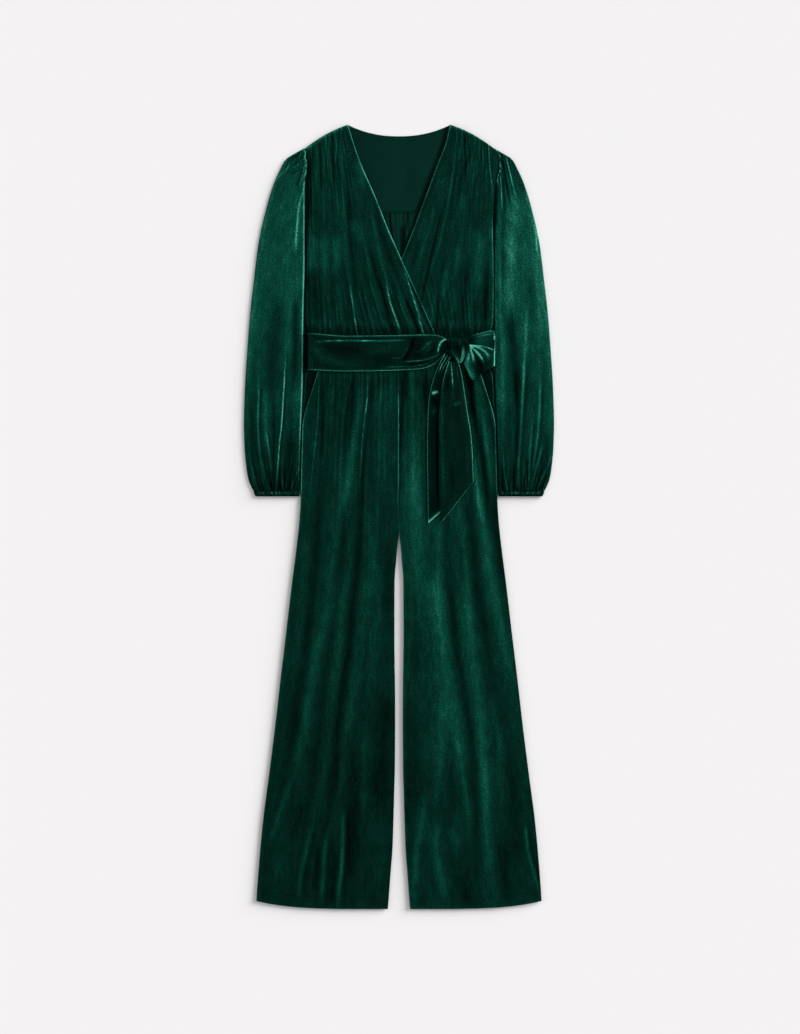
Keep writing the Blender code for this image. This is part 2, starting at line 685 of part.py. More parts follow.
def make_knot(below, material):
    """The knot: cloth wrapped over the crossing, pleated, drawn in at its lower end."""
    pleats = 4
    top, under = [], []
    for drop in (395.5, 398, 402, 408, 415, 423, 430, 436, 441.5):
        half, centre = KNOT.read("half_width", drop), KNOT.read("centre", drop)
        height = KNOT.read("height", drop)
        top_row, under_row = [], []
        for j in range(4 * pleats + 1):
            v = j / (4 * pleats)
            x = centre + half * (2 * v - 1)
            bed = resting_height(x, drop, below, reach=4.0) + 0.6
            dome = max(1 - (2 * v - 1) ** 2, 0.0) ** 0.45
            groove = 0.9 * dome * abs(math.sin(math.pi * pleats * v))
            top_row.append(put(x, drop, bed + 1.6 + height * dome + groove))
            under_row.append(put(x, drop, bed))
        top.append(top_row)
        under.append(under_row)
    sheet("sash_knot", top, under, material)


def main():
    for old in list(bpy.data.objects):
        bpy.data.objects.remove(old)
    pile = velvet("emerald_velvet", (0.004, 0.075, 0.047), 0.85)
    reverse = velvet("velvet_reverse", (0.003, 0.030, 0.024), 0.95)
    satin_pile = velvet("sash_velvet", (0.003, 0.062, 0.040), 0.70)

    make_back_yoke(reverse)
    make_back_bodice(reverse)
    for side, word in ((-1, "left"), (1, "right")):
        make_trouser_back(side, f"trouser_back_{word}", pile)
        make_pocket_facing(side, f"pocket_{word}", pile)
        make_trouser_front(side, f"trouser_front_{word}", pile)
        make_sleeve(side, f"sleeve_{word}", pile)
        make_cuff(side, f"cuff_{word}", pile)
    make_wrap(1, "under", "wrap_under", pile)
    make_wrap(-1, "lap", "wrap_lap", pile)
    make_sash_band(satin_pile)
    body = list(SASH_BELOW) + ["sash_band", "sleeve_right"]
    make_tail(TAIL_UNDER, "sash_tail_under", body, satin_pile)
    make_tail(TAIL_OVER, "sash_tail_over", body + ["sash_tail_under"], satin_pile)
    make_bow_loop(body + ["sash_tail_over", "sash_tail_under"], satin_pile)
    make_knot(body + ["sash_tail_over", "sash_tail_under", "sash_loop"], satin_pile)


main()
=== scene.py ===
# %% [markdown]
# # A wrap jumpsuit in dark green velvet, laid flat
# The garment lies on its back on a pale surface and is seen from straight above. Every piece is a
# thin closed sheet: a grid of points for its face, a second for its wrong side, and a rim that joins
# the two. Each long fold is placed one by one, because real velvet folds differ in length, depth and
# spacing. A cloth simulation would fold the cloth too, but not where this garment's folds lie.

# %% Load the frame
import math

import bpy
import numpy as np
from mathutils.bvhtree import BVHTree
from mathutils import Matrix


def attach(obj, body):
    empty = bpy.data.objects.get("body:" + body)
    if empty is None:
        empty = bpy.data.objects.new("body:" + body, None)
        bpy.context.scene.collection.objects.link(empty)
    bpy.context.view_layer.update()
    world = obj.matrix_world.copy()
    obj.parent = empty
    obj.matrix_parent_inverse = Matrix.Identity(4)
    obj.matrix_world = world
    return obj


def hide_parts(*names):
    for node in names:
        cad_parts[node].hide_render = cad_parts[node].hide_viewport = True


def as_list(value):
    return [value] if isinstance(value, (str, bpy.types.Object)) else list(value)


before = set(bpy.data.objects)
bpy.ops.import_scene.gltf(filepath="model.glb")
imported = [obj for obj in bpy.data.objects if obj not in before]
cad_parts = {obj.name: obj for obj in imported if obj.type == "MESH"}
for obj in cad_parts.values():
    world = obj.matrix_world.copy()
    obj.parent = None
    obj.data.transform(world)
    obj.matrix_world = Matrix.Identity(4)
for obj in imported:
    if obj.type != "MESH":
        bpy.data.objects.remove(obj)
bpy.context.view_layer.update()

# %% [markdown]
# ## Garment measure
# A maker measures a garment flat: so far from the centre line, so far down from the shoulder point.
# Working in those two numbers and in millimetres keeps every size readable. One function turns them
# into metres in the frame at the very end.

# %% Garment measure
LENGTH, WAIST, CROTCH, YOKE_SEAM, CUFF_SEAM = 1450.0, 420.0, 670.0, 161.0, 676.0  # down from the shoulder
NECK, SHOULDER_END = 94.5, 176.5  # out from the centre line, where the shoulder seam starts and ends
SHOULDER_DROP = 46  # how far the shoulder seam falls towards the sleeve
SASH_TOP, SASH_FOOT = 385.5, 453.4  # where the sash crosses the side seam
HALF_SEAM = 0.15  # a sheet stops this far short of its seam line
CLOTH, SASH_CLOTH, CUFF_CLOTH = 1.4, 2.4, 2.2  # thickness of each kind of cloth
SLACK = 2.2  # air between front and back
SIDES = ((-1, "left"), (1, "right"))  # as they are in the picture


def place(x, drop, z):
    """Points in metres from x across, drop down from the shoulder point, and height z, all in mm."""
    return np.stack(np.broadcast_arrays(x, LENGTH / 2 - drop, z), axis=-1) / 1000


def mix(a, b, t):
    return a + (b - a) * t


def ramp(value, start, end):
    """0 before start, 1 after end, and a smooth climb between."""
    t = np.clip((value - start) / (end - start), 0, 1)
    return t * t * (3 - 2 * t)


def rolled(distance, radius):
    """Height share of an edge that curves over: 0 at the edge, 1 from radius inwards."""
    return np.sqrt(1 - (1 - np.clip(distance / radius, 0, 1)) ** 2)


def hump(distance, width):
    """A bell: 1 at distance 0, and next to nothing from twice the width."""
    return np.exp(-((distance / width) ** 2))


def fading(distance, width):
    """1 at an edge and less and less away from it."""
    return np.exp(-distance / width)


def smooth_table(*rows):
    """A curve through rows of (key, value, ...) that never overshoots. Gives read(keys, column)."""
    data = np.array(rows, float)
    keys, values = data[:, 0], data[:, 1:]
    grade = np.diff(values, axis=0) / np.diff(keys)[:, None]
    slope = np.vstack([grade[:1], np.zeros_like(grade[1:]), grade[-1:]])
    a, b = grade[:-1], grade[1:]
    slope[1:-1] = np.where(a * b > 0, 2 * a * b / np.where(a * b > 0, a + b, 1), 0)

    def read(at, column=0):
        at = np.clip(at, keys[0], keys[-1])
        i = np.clip(np.searchsorted(keys, at, side="right") - 1, 0, len(keys) - 2)
        step = keys[i + 1] - keys[i]
        t = (at - keys[i]) / step
        low, high = values[i, column], values[i + 1, column]
        start, end = slope[i, column] * step, slope[i + 1, column] * step
        return (
            low * (2 * t**3 - 3 * t**2 + 1) + start * (t**3 - 2 * t**2 + t)
            + high * (3 * t**2 - 2 * t**3) + end * (t**3 - t**2)
        )

    return read


# %% [markdown]
# ## Outlines of the cut pieces
# A sewing pattern is a set of edge lines, and so are these tables. Each row says how far down it is
# and how far out from the centre line the edge lies there. Curve objects could hold the lines too, but
# a table can be asked for any height, and so the grids of neighbouring pieces meet along one line.

# %% Outlines of the cut pieces
side_seam = smooth_table(
    (46, 176.5), (93, 175.6), (139, 176.2), (242, 175.6), (300, 175), (344, 174.4), (368, 173.4),
    (384, 169.8), (420, 169), (440, 169.1), (453, 169.8), (466, 172.8), (509, 175.6), (564, 178.2),
    (620, 179.8), (684, 181.4), (731, 184.1), (775, 188.7), (849, 198), (938, 208.5),
    (1027, 219.2), (1116, 229.4), (1204, 240.5), (1293, 252), (1382, 259.9), (1435, 263.6),
    (1450, 264.4),
)
inseam = smooth_table(
    (420, .15), (752, .15), (775, 2.6), (797, 4.4), (849, 8.2), (953, 8.4), (1071, 7), (1175, 7.4),
    (1249, 9.2), (1338, 12), (1382, 15.4), (1426, 18.6), (1450, 20.6),
)
sleeve_outer = smooth_table(
    (61, 206), (68, 212), (80, 218.3), (109, 231.3), (154, 245.1), (220, 259.9), (287, 268.3),
    (353, 275.7), (420, 280.8), (487, 284.9), (553, 286.8), (598, 285.5), (642, 281), (656, 278.2),
    (668, 273.6), (676, 269.6),
)
sleeve_inner = smooth_table(
    (44, 176.8), (93, 175.9), (139, 176.5), (242, 175.9), (300, 175.8), (353, 176), (420, 176.4),
    (487, 177.4), (553, 180), (620, 182.2), (676, 183.8),
)
wrap_edge = smooth_table(  # drop, then the edge that laps over and the one beneath it
    (0, -94.5, 94.5), (34, -84, 86.5), (69, -71.8, 73), (128, -45.9, 51), (193, -20, 26.8),
    (246, 3.3, 5), (310, 32, -22), (385, 65.7, -56), (420, 80.5, -72),
)
armholes = {  # drop, then the front edge of the sleeve and the side edge of the wrap front
    -1: smooth_table(
        (44, 176.5, 176), (53, 170.6, 170), (61, 171.6, 171), (71, 168.8, 168.2), (90, 170, 169.2),
        (107, 173, 171.2), (131, 173.4, 170.8), (194, 173.6, 171.2), (248, 173.6, 172.4),
        (300, 174.6, 173.6), (344, 175.6, 174), (368, 176, 173), (384, 176.2, 169.6),
        (420, 176.4, 168.8)),
    1: smooth_table(
        (44, 177, 176.4), (53, 184, 183.4), (64, 184.4, 183.8), (78, 185.2, 184.6), (92, 181.2, 180.4),
        (110, 179.4, 177.8), (137, 178.2, 175.4), (195, 177, 173.2), (248, 176.3, 174.4),
        (300, 176, 175), (344, 176, 174.4), (368, 176, 173.2), (384, 176.2, 169.6), (420, 176.4, 168.8)),
}
pocket_mouth = smooth_table((420, 139), (456, 150), (500, 164), (532, 174), (556, 178.5))


def hidden_side(drop):
    """The back reaches out under the sleeve where the front is narrower, but not inside the sash."""
    # Painted dark on the back bodice and the trouser backs, this strip stands for the shadow beside the
    # sleeve.
    beside = np.where((drop < SASH_TOP) | (drop > SASH_FOOT), 1.0, 0.0)
    beside = beside * ramp(drop, 120, 135) * (1 - ramp(drop, 681, 688))
    return mix(side_seam(drop), np.maximum(sleeve_inner(drop) - 0.03, side_seam(drop)), beside)


print("flat waist", round(2 * float(side_seam(WAIST))), "mm, leg at the hem",
      round(float(side_seam(LENGTH) - inseam(LENGTH))), "mm")

# %% [markdown]
# ## How the layers stack
# Where the sash passes behind the waist, it lifts the whole garment. The front lies a little above
# the back and curves down to it at the seams. One height for the whole garment would be simpler, but
# its layers would cut through each other, so every piece shares these heights.

# %% Heights of the layers
SASH_LIFT = 3.0  # the sash behind the waist, and a little air
FRONT_TOP = 2 * CLOTH + SLACK  # top of a front between its folds
SEWN_TOP = 2 * CLOTH + 0.3  # top of a front where it is sewn to the back
EDGE_RISE, EDGE_REACH = 3.6, 15  # how high a sewn edge stands, and how far in that reaches


def back_lift(drop):
    return SASH_LIFT * (ramp(drop, 368, 384) - ramp(drop, 458, 474))


def front_lift(drop):
    return SASH_LIFT * (ramp(drop, 358, 376) - ramp(drop, 466, 484))


def front_level(drop):
    return FRONT_TOP + front_lift(drop)


def closed_edge(drop):
    return SEWN_TOP + front_lift(drop)


def shoulder_lift(distance):
    """A sewn edge isn't pressed flat: both layers stand off the table there, and lie on it further in."""
    return EDGE_RISE * (1 - np.clip(distance / EDGE_REACH, 0, 1)) ** 2


print("front", round(FRONT_TOP, 2), "mm high, its sewn edge", round(SEWN_TOP, 2), "mm")

# %% [markdown]
# ## Sheets of cloth
# A sheet is two grids with the same rows and columns. The columns are packed tightly beside a free
# edge, because a turned edge of velvet is a small round bead and its curve catches the light as a
# thin bright line. A plane with a Solidify modifier would have a square cut edge instead. Each point
# also carries a number for the nap and the shading: how the pile lies there, from crushed and pale to
# brushed and dark, together with the painted highlights and painted shade of folds, edges and gaps.
# The material reads it.

# %% Making a sheet
BEAD = np.array([0, .12, .4, .8, 1.35, 2.1, 3.2])  # distances from a free edge, in mm


def across(width, count):
    """Distances from one edge of each row to the other, fine beside both edges."""
    width = np.asarray(width, float)[:, None]
    share = np.linspace(0, 1, count - 2 * len(BEAD) + 2)[1:-1]
    middle = BEAD[-1] + (width - 2 * BEAD[-1]) * share
    return np.hstack([width * 0 + BEAD, middle, width - BEAD[::-1]])


def skin(rows, columns):
    """The faces of a sheet as point numbers, and how many of them, the last, are the wrong side's."""
    near = np.arange(rows * columns).reshape(rows, columns)
    far = near + rows * columns

    def quads(a, b, c, d):
        return np.stack([a, b, c, d], axis=-1).reshape(-1, 4)

    outside = quads(near[:-1, :-1], near[1:, :-1], near[1:, 1:], near[:-1, 1:])
    inside = quads(far[:-1, :-1], far[:-1, 1:], far[1:, 1:], far[1:, :-1])
    rim = np.vstack([
        quads(near[:-1, 0], far[:-1, 0], far[1:, 0], near[1:, 0]),
        quads(near[:-1, -1], near[1:, -1], far[1:, -1], far[:-1, -1]),
        quads(near[0, :-1], near[0, 1:], far[0, 1:], far[0, :-1]),
        quads(near[-1, :-1], far[-1, :-1], far[-1, 1:], near[-1, 1:]),
    ])
    return np.vstack([outside, rim, inside]), len(inside)


def unrolled(face):
    """Where each point lies on the cloth when it is flat, in metres, for the UV map."""
    down = np.linalg.norm(np.diff(face, axis=0), axis=2).mean(axis=1)
    over = np.linalg.norm(np.diff(face, axis=1), axis=2)
    u = np.hstack([np.zeros((len(face), 1)), np.cumsum(over, axis=1)])
    u -= u[:, -1:] / 2
    v = np.broadcast_to(np.concatenate([[0], np.cumsum(down)])[:, None], u.shape)
    return np.stack([u, v], axis=-1).reshape(-1, 2)


def lay_out(name, data):
    """A new object in the scene, at the origin."""
    made = bpy.data.objects.new(name, data)
    bpy.context.scene.collection.objects.link(made)
    return made


def sew(name, face, reverse, finishes, nap):
    """A closed sheet from the grid of its face and the grid of its wrong side."""
    faces, hidden = skin(*face.shape[:2])
    points = np.vstack([face.reshape(-1, 3), reverse.reshape(-1, 3)])
    a, b, c, d = (points[faces[:, k]] for k in range(4))
    if (np.cross(c - a, d - b) * (a + b + c + d)).sum() < 0:  # inside out
        faces = faces[:, ::-1]
    mesh = bpy.data.meshes.new(name)
    mesh.from_pydata(points.tolist(), [], faces.tolist())
    loops = np.empty(len(mesh.loops), int)
    mesh.loops.foreach_get("vertex_index", loops)
    flat = np.tile(unrolled(face), (2, 1))
    mesh.uv_layers.new(name="cloth").data.foreach_set("uv", flat[loops].ravel())
    tone = np.tile(np.clip(nap, -1, 1).ravel(), 2)
    mesh.attributes.new("nap", "FLOAT", "POINT").data.foreach_set("value", tone)
    for finish in finishes:
        mesh.materials.append(finish)
    slots = np.zeros(len(faces), int)
    slots[-hidden:] = len(finishes) - 1
    mesh.polygons.foreach_set("material_index", slots)
    mesh.shade_smooth()
    mesh.set_sharp_from_angle(angle=math.radians(70))
    mesh.validate()
    surface = 0.25 * np.linalg.norm(np.cross(c - a, d - b), axis=1).sum()
    low, high = points[:, 2].min() * 1000, points[:, 2].max() * 1000
    print(f"{name}: {2 * len(faces)} triangles, {surface:.4f} m2 of cloth,"
          f" {low:.2f} to {high:.2f} mm high")
    return lay_out(name, mesh)


def inset(points, thickness):
    """The same grid moved in along its normals."""
    along, over = np.gradient(points, axis=0), np.gradient(points, axis=1)
    normal = np.cross(along, over)
    normal /= np.linalg.norm(normal, axis=2, keepdims=True)
    return points - normal * thickness / 1000


def bead(distance, depth=1.05, radius=2.0):
    """How far the face sinks towards a free edge."""
    return depth * (1 - rolled(distance, radius))


# %% [markdown]
# ## Shader wires
# A material's colour is a sum of several noises and the number for nap and painted shading. Drawn as
# nodes that is a long chain, and written node by node it is hard to read. This class stands for one
# socket: adding two of them adds the Math node, so the sum is written as a sum.

# %% Shader wires
class Wire:
    """One socket of a node tree, on which the sums of a material are written as plain Python."""

    def __init__(self, tree, socket=None):
        self.tree, self.socket = tree, socket

    def fill(self, node, **inputs):
        """Values or wires for a node's sockets, which are named, or numbered as s0, s1 and so on."""
        for key, value in inputs.items():
            spot = node.inputs[int(key[1:]) if key[1:].isdigit() else key.replace("_", " ")]
            if isinstance(value, Wire):
                self.tree.links.new(value.socket, spot)
            else:
                spot.default_value = value
        return node

    def node(self, kind, settings=(), **inputs):
        """A new node: its settings first, then values or wires for its sockets."""
        made = self.tree.nodes.new(kind)
        for key, value in dict(settings).items():
            if key == "stops":
                elements = made.color_ramp.elements
                while len(elements) < len(value):
                    elements.new(0.5)
                for element, (at, colour) in zip(elements, value):
                    element.position, element.color = at, (*colour, 1)
            else:
                setattr(made, key, value)
        return self.fill(made, **inputs)

    def out(self, kind, settings=(), output=0, **inputs):
        return Wire(self.tree, self.node(kind, settings, **inputs).outputs[output])

    def sum(self, operation, a, b):
        return self.out("ShaderNodeMath", {"operation": operation}, s0=a, s1=b)

    def __add__(self, other):
        return self.sum("ADD", self, other)

    def __sub__(self, other):
        return self.sum("SUBTRACT", self, other)

    def __rsub__(self, other):
        return self.sum("SUBTRACT", other, self)

    def __mul__(self, other):
        return self.sum("MULTIPLY", self, other)

    __radd__, __rmul__ = __add__, __mul__


def blank(name):
    """A new material, its shader and a wire to start from."""
    material = bpy.data.materials.new(name)
    material.use_nodes = True
    return material, material.node_tree.nodes["Principled BSDF"], Wire(material.node_tree)


# %% [markdown]
# ## Velvet
# Velvet is a short dense pile on a thin ground. Looked at straight on, its pile swallows the light and
# the cloth is nearly black-green. On a steep slope the sides of the hairs show and it turns pale. The
# shader's sheen gives that second part, and it stays a plain number. Where the pile was brushed or
# crushed, the cloth is lighter or darker in soft streaks. The sheet's number for nap and shading, which
# also holds painted highlights on crests and edges and painted shade beside folds and in gaps, and
# three sizes of noise drive the colour, the roughness and a fine bump. Real hairs would be far too
# many. The sash is the same velvet pressed double; its colour scale makes the painted shade in its
# hollows darker and the painted highlights on its edges brighter.

# %% Velvet
def cloth_noise(start, x_scale, y_scale, detail):
    """Noise that is longer one way than the other, laid on the flat cloth."""
    flat = start.out("ShaderNodeUVMap", {"uv_map": "cloth"})
    turned = start.out("ShaderNodeMapping", Vector=flat, Scale=(x_scale, y_scale, 1))
    return start.out("ShaderNodeTexNoise", {"noise_dimensions": "2D"}, Vector=turned, Scale=1.0,
                     Detail=detail, Roughness=0.6)


def velvet(name, stops, patches, streaks, grain, sheen):
    material, shader, start = blank(name)
    nap = start.out("ShaderNodeAttribute", {"attribute_name": "nap"}, output=2)
    patch = cloth_noise(start, 40, 17, 4) - 0.5
    streak = cloth_noise(start, 150, 42, 3) - 0.5
    hairs = cloth_noise(start, 430, 340, 4)
    tone = nap * 0.6 + patch * patches + streak * streaks + (hairs - 0.5) * grain + 0.455
    start.fill(
        shader,
        Base_Color=start.out("ShaderNodeValToRGB", {"stops": stops}, Fac=tone),
        Roughness=0.92 - tone * 0.22,
        Normal=start.out("ShaderNodeBump", Height=hairs * 0.7 + streak * 0.6, Strength=0.25,
                         Distance=0.0006),
        Specular_IOR_Level=0.03, Specular_Tint=(0.5, 1, 0.75, 1),
        Sheen_Weight=sheen, Sheen_Roughness=0.3, Sheen_Tint=(0.02, 0.5, 0.33, 1),
    )
    return material


# The top stops are the colours of the painted highlights, the lowest of the painted shade.
PILE = [(0.0, (0, .0008, .0005)), (0.25, (.0001, .0050, .0035)), (0.5, (.0005, .0190, .0130)),
        (.72, (.0020, .056, .0355)), (.88, (.013, .150, .101)), (1.0, (.075, .33, .247))]
SASH_PILE = [(0.0, (0, .0006, .0004)), (0.25, (.0001, .0036, .0025)), (0.5, (.0005, .0150, .0102)),
             (.72, (.0022, .060, .0395)), (.88, (.018, .180, .124)), (1.0, (.095, .42, .316))]
pile = velvet("emerald_velvet", PILE, 0.24, 0.24, 0.62, 0.42)
sash_pile = velvet("sash_velvet", SASH_PILE, 0.22, 0.16, 0.6, 0.45)
print("made", pile.name, "and", sash_pile.name)

# %% [markdown]
# ## The wrong side
# Inside the neckline the wrong side of the velvet shows: a matt fine knit with faint ribs. Its loops
# are smaller than a pixel of the picture, so none is modelled. A wave for the ribs and two noises for
# cloudiness and fuzz, all on the cloth's own UV map, are enough. The sheet's number for nap and
# shading darkens it with painted shade under the wrap's edges, in the furrows of the gathers and
# beside the sleeves.

# %% The wrong side
def knit_back(name, colour):
    material, shader, start = blank(name)
    rib = start.out("ShaderNodeTexWave", {"bands_direction": "X"},
                    Vector=start.out("ShaderNodeUVMap", {"uv_map": "cloth"}), Scale=160.0,
                    Distortion=1.5, Detail=1.0)
    cloud = cloth_noise(start, 14, 14, 3)
    fuzz = cloth_noise(start, 700, 700, 2)
    nap = start.out("ShaderNodeAttribute", {"attribute_name": "nap"}, output=2)
    # The low stop is the colour of the painted shade.
    low, mid, high = [tuple(c * k for c in colour) for k in (0.15, 1.0, 1.7)]
    start.fill(
        shader,
        Base_Color=start.out("ShaderNodeValToRGB", {"stops": [(0, low), (0.5, mid), (1, high)]},
                             Fac=nap * 0.5 + cloud * 0.3 + fuzz * 0.25 + rib * 0.12 + 0.18),
        Roughness=0.9 + fuzz * 0.08,
        Normal=start.out("ShaderNodeBump", Height=rib * 0.5 + fuzz, Strength=0.2, Distance=0.0004),
        Specular_IOR_Level=0.05, Specular_Tint=(0.6, 1, 0.9, 1),
    )
    return material


wrong_side = knit_back("velvet_wrong_side", (.0011, .0200, .0140))
print("made", wrong_side.name)

# %% [markdown]
# ## Folds
# A fold is drawn as a line of a few points on the garment, with a width, a height (below zero for a
# furrow), how pale a painted highlight runs along it, and how dark a painted shadow lies on its right.
# It fades at both ends.
# Sculpting would do as well, but a table of lines can be read, checked against the picture and
# changed. Gathers are many short folds that start at a seam, so a small function draws them with
# uneven lengths and spacing from a fixed seed. The long even gathers are a train of round crests.

# %% Pressing folds into a sheet
def spline(a, b, c, d, t):
    """From b to c on a smooth curve that also heeds the points before and after them."""
    return (b + (c - a) * t / 2 + (2 * a - 5 * b + 4 * c - d) * t**2 / 2
            + (3 * b - a - 3 * c + d) * t**3 / 2)


def smooth_line(points):
    """A curve through given points, as closely spaced points."""
    p = np.array(points, float)
    p = np.vstack([2 * p[0] - p[1], p, 2 * p[-1] - p[-2]])
    parts = []
    for a, b, c, d in zip(p, p[1:], p[2:], p[3:]):
        t = np.linspace(0, 1, max(2, int(np.linalg.norm(c - b) / 10)), endpoint=False)[:, None]
        parts.append(spline(a, b, c, d, t))
    return np.vstack(parts + [p[-2:-1]])


def nearest(x, drop, line):
    """How far each point is from a line, which side of it, and how far along it, as a share."""
    spot = np.stack([x, drop], axis=-1)
    run = np.diff(line, axis=0)
    size = np.hypot(run[:, 0], run[:, 1])
    away = spot[:, None] - line[:-1]
    t = np.clip((away * run).sum(axis=-1) / size**2, 0, 1)
    gap = ((away - t[..., None] * run) ** 2).sum(axis=-1)
    i, k = gap.argmin(axis=1), np.arange(len(gap))
    right = np.sign(run[i, 1] * away[k, i, 0] - run[i, 0] * away[k, i, 1])
    along = (np.cumsum(size)[i] - size[i] * (1 - t[k, i])) / size.sum()
    return np.sqrt(gap[k, i]), right, along


def press(x, drop, folds):
    """Height, and nap with painted highlights and shadows, that a list of folds gives at each grid point.
    """
    height, nap = np.zeros(x.shape), np.zeros(x.shape)
    for width, rise, pale, dark, *points in folds:
        line = smooth_line(points)
        (x0, d0), (x1, d1) = line.min(axis=0) - 4 * width, line.max(axis=0) + 4 * width
        near = (x > x0) & (x < x1) & (drop > d0) & (drop < d1)
        if not near.any():
            continue
        gap, right, along = nearest(x[near], drop[near], line)
        distance = gap * right / width
        fade = ramp(along, 0, 0.25) * (1 - ramp(along, 0.65, 1))
        lean = 1 - 0.35 * right * (dark > 0)  # the shaded side is the steeper one
        crisp = min(max((4.5 - width) / 2.5, 0), 1)  # a narrow fold has a sharp painted highlight on its crest
        height[near] += rise * fade * hump(distance, lean)
        light = mix(hump(distance, 1.2), np.exp(-1.5 * np.abs(distance)), crisp)
        shade = mix(hump(distance - 2.2, 1.3), hump(distance - 1.6, 0.8), crisp)
        nap[near] += fade * (pale * light - dark * shade)
    return height, nap


def gathers(seam, far, count, width, rise, pale, dark, seed, reach=(0.35, 1.0)):
    """Uneven short folds from one line to another, given by their end points."""
    pick = np.random.default_rng(seed)
    (a, b), (c, d) = np.array(seam, float), np.array(far, float)
    folds = []
    for k in range(count):
        t = (k + 0.5 + pick.uniform(-0.3, 0.3)) / count
        start, end = mix(a, b, t), mix(c, d, t + pick.uniform(-0.35, 0.35) / count)
        end = mix(start, end, pick.uniform(*reach))
        size = pick.uniform(0.55, 1.15)
        folds.append((width * pick.uniform(0.8, 1.25), rise * size, pale * size, dark * size,
                      tuple(start - 0.3 * (end - start)), tuple(mix(start, end, 0.5)), tuple(end)))
    return folds


def train(crests, places, u, where):
    """The regular gathers: rounded crests of (share u of the way across, height at each place)."""
    crests = np.array(crests, float)
    at = crests[:, 0]
    read = smooth_table(*np.column_stack([places, crests[:, 1:].T]))
    bounds = np.concatenate([[2 * at[0] - (at[0] + at[1]) / 2], (at[1:] + at[:-1]) / 2,
                             [2 * at[-1] - (at[-1] + at[-2]) / 2]])
    height = np.zeros(u.shape)
    for i, crest in enumerate(at):
        reach = np.where(u > crest, bounds[i + 1] - crest, crest - bounds[i])
        share = np.clip(np.abs(u - crest) / reach, 0, 1)
        height += read(where, i) * np.cos(math.pi / 2 * share) ** 2
    return height


def soft_lift(x, drop, seed, count, box):
    """A few long low lifts of cloth that isn't pressed to the table, inside a box of x and drop."""
    pick = np.random.default_rng(seed)
    x0, x1, d0, d1 = box
    folds = []
    for k in range(count):
        top = mix(x0, x1, (k + pick.uniform(0.25, 0.75)) / count)
        start, end = mix(d0, d1, pick.uniform(0, 0.3)), mix(d0, d1, pick.uniform(0.6, 1))
        folds.append((pick.uniform(5, 10), pick.uniform(0.35, 0.75), 0.12, 0.08, (top, start),
                      (top + pick.uniform(-9, 9), (start + end) / 2),
                      (top + pick.uniform(-14, 14), end)))
    # Each lift also gets a faint painted highlight and painted shadow.
    height, nap = press(x, drop, folds)
    return np.clip(height, 0, 0.8), nap


# %% [markdown]
# ## Back of the garment
# The upper back is a plain yoke whose wrong side shows through the neckline. Below its seam the back
# is gathered. Both lie on the table, so their undersides stay flat but for a few long soft lifts. One
# sheet would be simpler, but the seam between the two is the main thing that the neckline shows.

# %% Back yoke
def upper_edge(x):
    """Back neckline inside the shoulder points, and the shoulder seam outside them."""
    t = np.clip((np.abs(x) - NECK) / (SHOULDER_END - NECK), 0, 1)
    scoop = 21 * (1 - np.clip(np.abs(x) / NECK, 0, 1) ** 2.2)
    return np.where(np.abs(x) < NECK, scoop, SHOULDER_DROP * t - 20 * t * (1 - t))


def neck_shade(x, drop, reach):
    """The wrap's edges stand over the back and shade it, most on the side away from the window."""
    under = wrap_edge(drop, 1) - x
    return -1.1 * (1 - ramp(under, 0.4 * reach, reach)) - 0.3 * fading(np.abs(x - wrap_edge(drop, 0)), 9)


def make_back_yoke():
    down = np.concatenate([BEAD / 130, np.linspace(0, 1, 34)[2:]])[:, None]
    x = hidden_side(mix(SHOULDER_DROP, YOKE_SEAM, down)) * np.linspace(-1, 1, 121)
    drop = mix(upper_edge(x), YOKE_SEAM + 0.1, down)  # just past the seam line, so that no floor shows
    from_top, from_seam = drop - upper_edge(x), YOKE_SEAM - drop
    low, nap = soft_lift(x, drop, 3, 5, (-150, 150, 40, 160))
    low *= ramp(from_top, 0, 12) * ramp(from_seam, 0, 10)
    low += shoulder_lift(from_top) * ramp(np.abs(x), NECK - 6, NECK + 10)
    z = low + CLOTH - bead(from_top, 0.9)
    nap = nap - 0.35 * hump(from_seam, 2.2) + neck_shade(x, drop, 13)
    nap += 0.12 * np.clip(x / 80, -1, 1) + 0.12 * ramp(drop, 40, 130) - 0.05
    return sew("back_yoke_cloth", place(x, drop, z + 0.5 * hump(from_seam, 2.2)), place(x, drop, low),
               [wrong_side, pile], nap)


back_yoke_cloth = make_back_yoke()

# %% Gathered back
INSIDE_CREASES = [  # width, height, how pale (below zero: painted shade in the furrow), how dark the painted shadow on its right, then its points
    (2.3, -.9, -1.2, 0, (-19.2, 148), (-17.8, 168.3), (-15.5, 186.9), (-11.8, 205.4), (-7.4, 223.9)),
    (1.6, -.6, -.5, 0, (-8.5, 151.7), (-8.1, 172.1), (-9.2, 192.4), (-8.5, 209.1)),
    (3.5, .7, .7, 0, (-3, 144.3), (-1.9, 179.5), (-1.9, 209.1), (-.4, 238.7), (1.9, 279.4)),
    (2.2, .6, .25, 0, (-13.3, 155.4), (-13, 172.1), (-11.1, 190.6)),
    (3, -.9, -1.4, 0, (4.8, 179.5), (5.6, 201.7), (7, 218.3), (6.3, 246.1)),
    (2.1, -.9, -1.3, 0, (15.5, 144.3), (15.5, 166.5), (14.1, 183.2), (10.4, 201.7), (7, 218.3)),
    (1.8, .5, .25, 0, (10.4, 153.6), (10, 170.2), (8.9, 186.9)),
    (2.4, .5, .25, 0, (21.5, 153.6), (20.4, 170.2), (17.8, 185)),
]
YOKE_GATHERS = [
    *gathers(((-174, 163), (174, 163)), ((-150, 245), (150, 245)), 31, 2.6, 1.5, .3, .8, 5, (0.8, 1.4)),
    *gathers(((-174, 162), (174, 162)), ((-172, 186), (172, 186)), 76, 1.3, 0.7, .3, .5, 6),
]


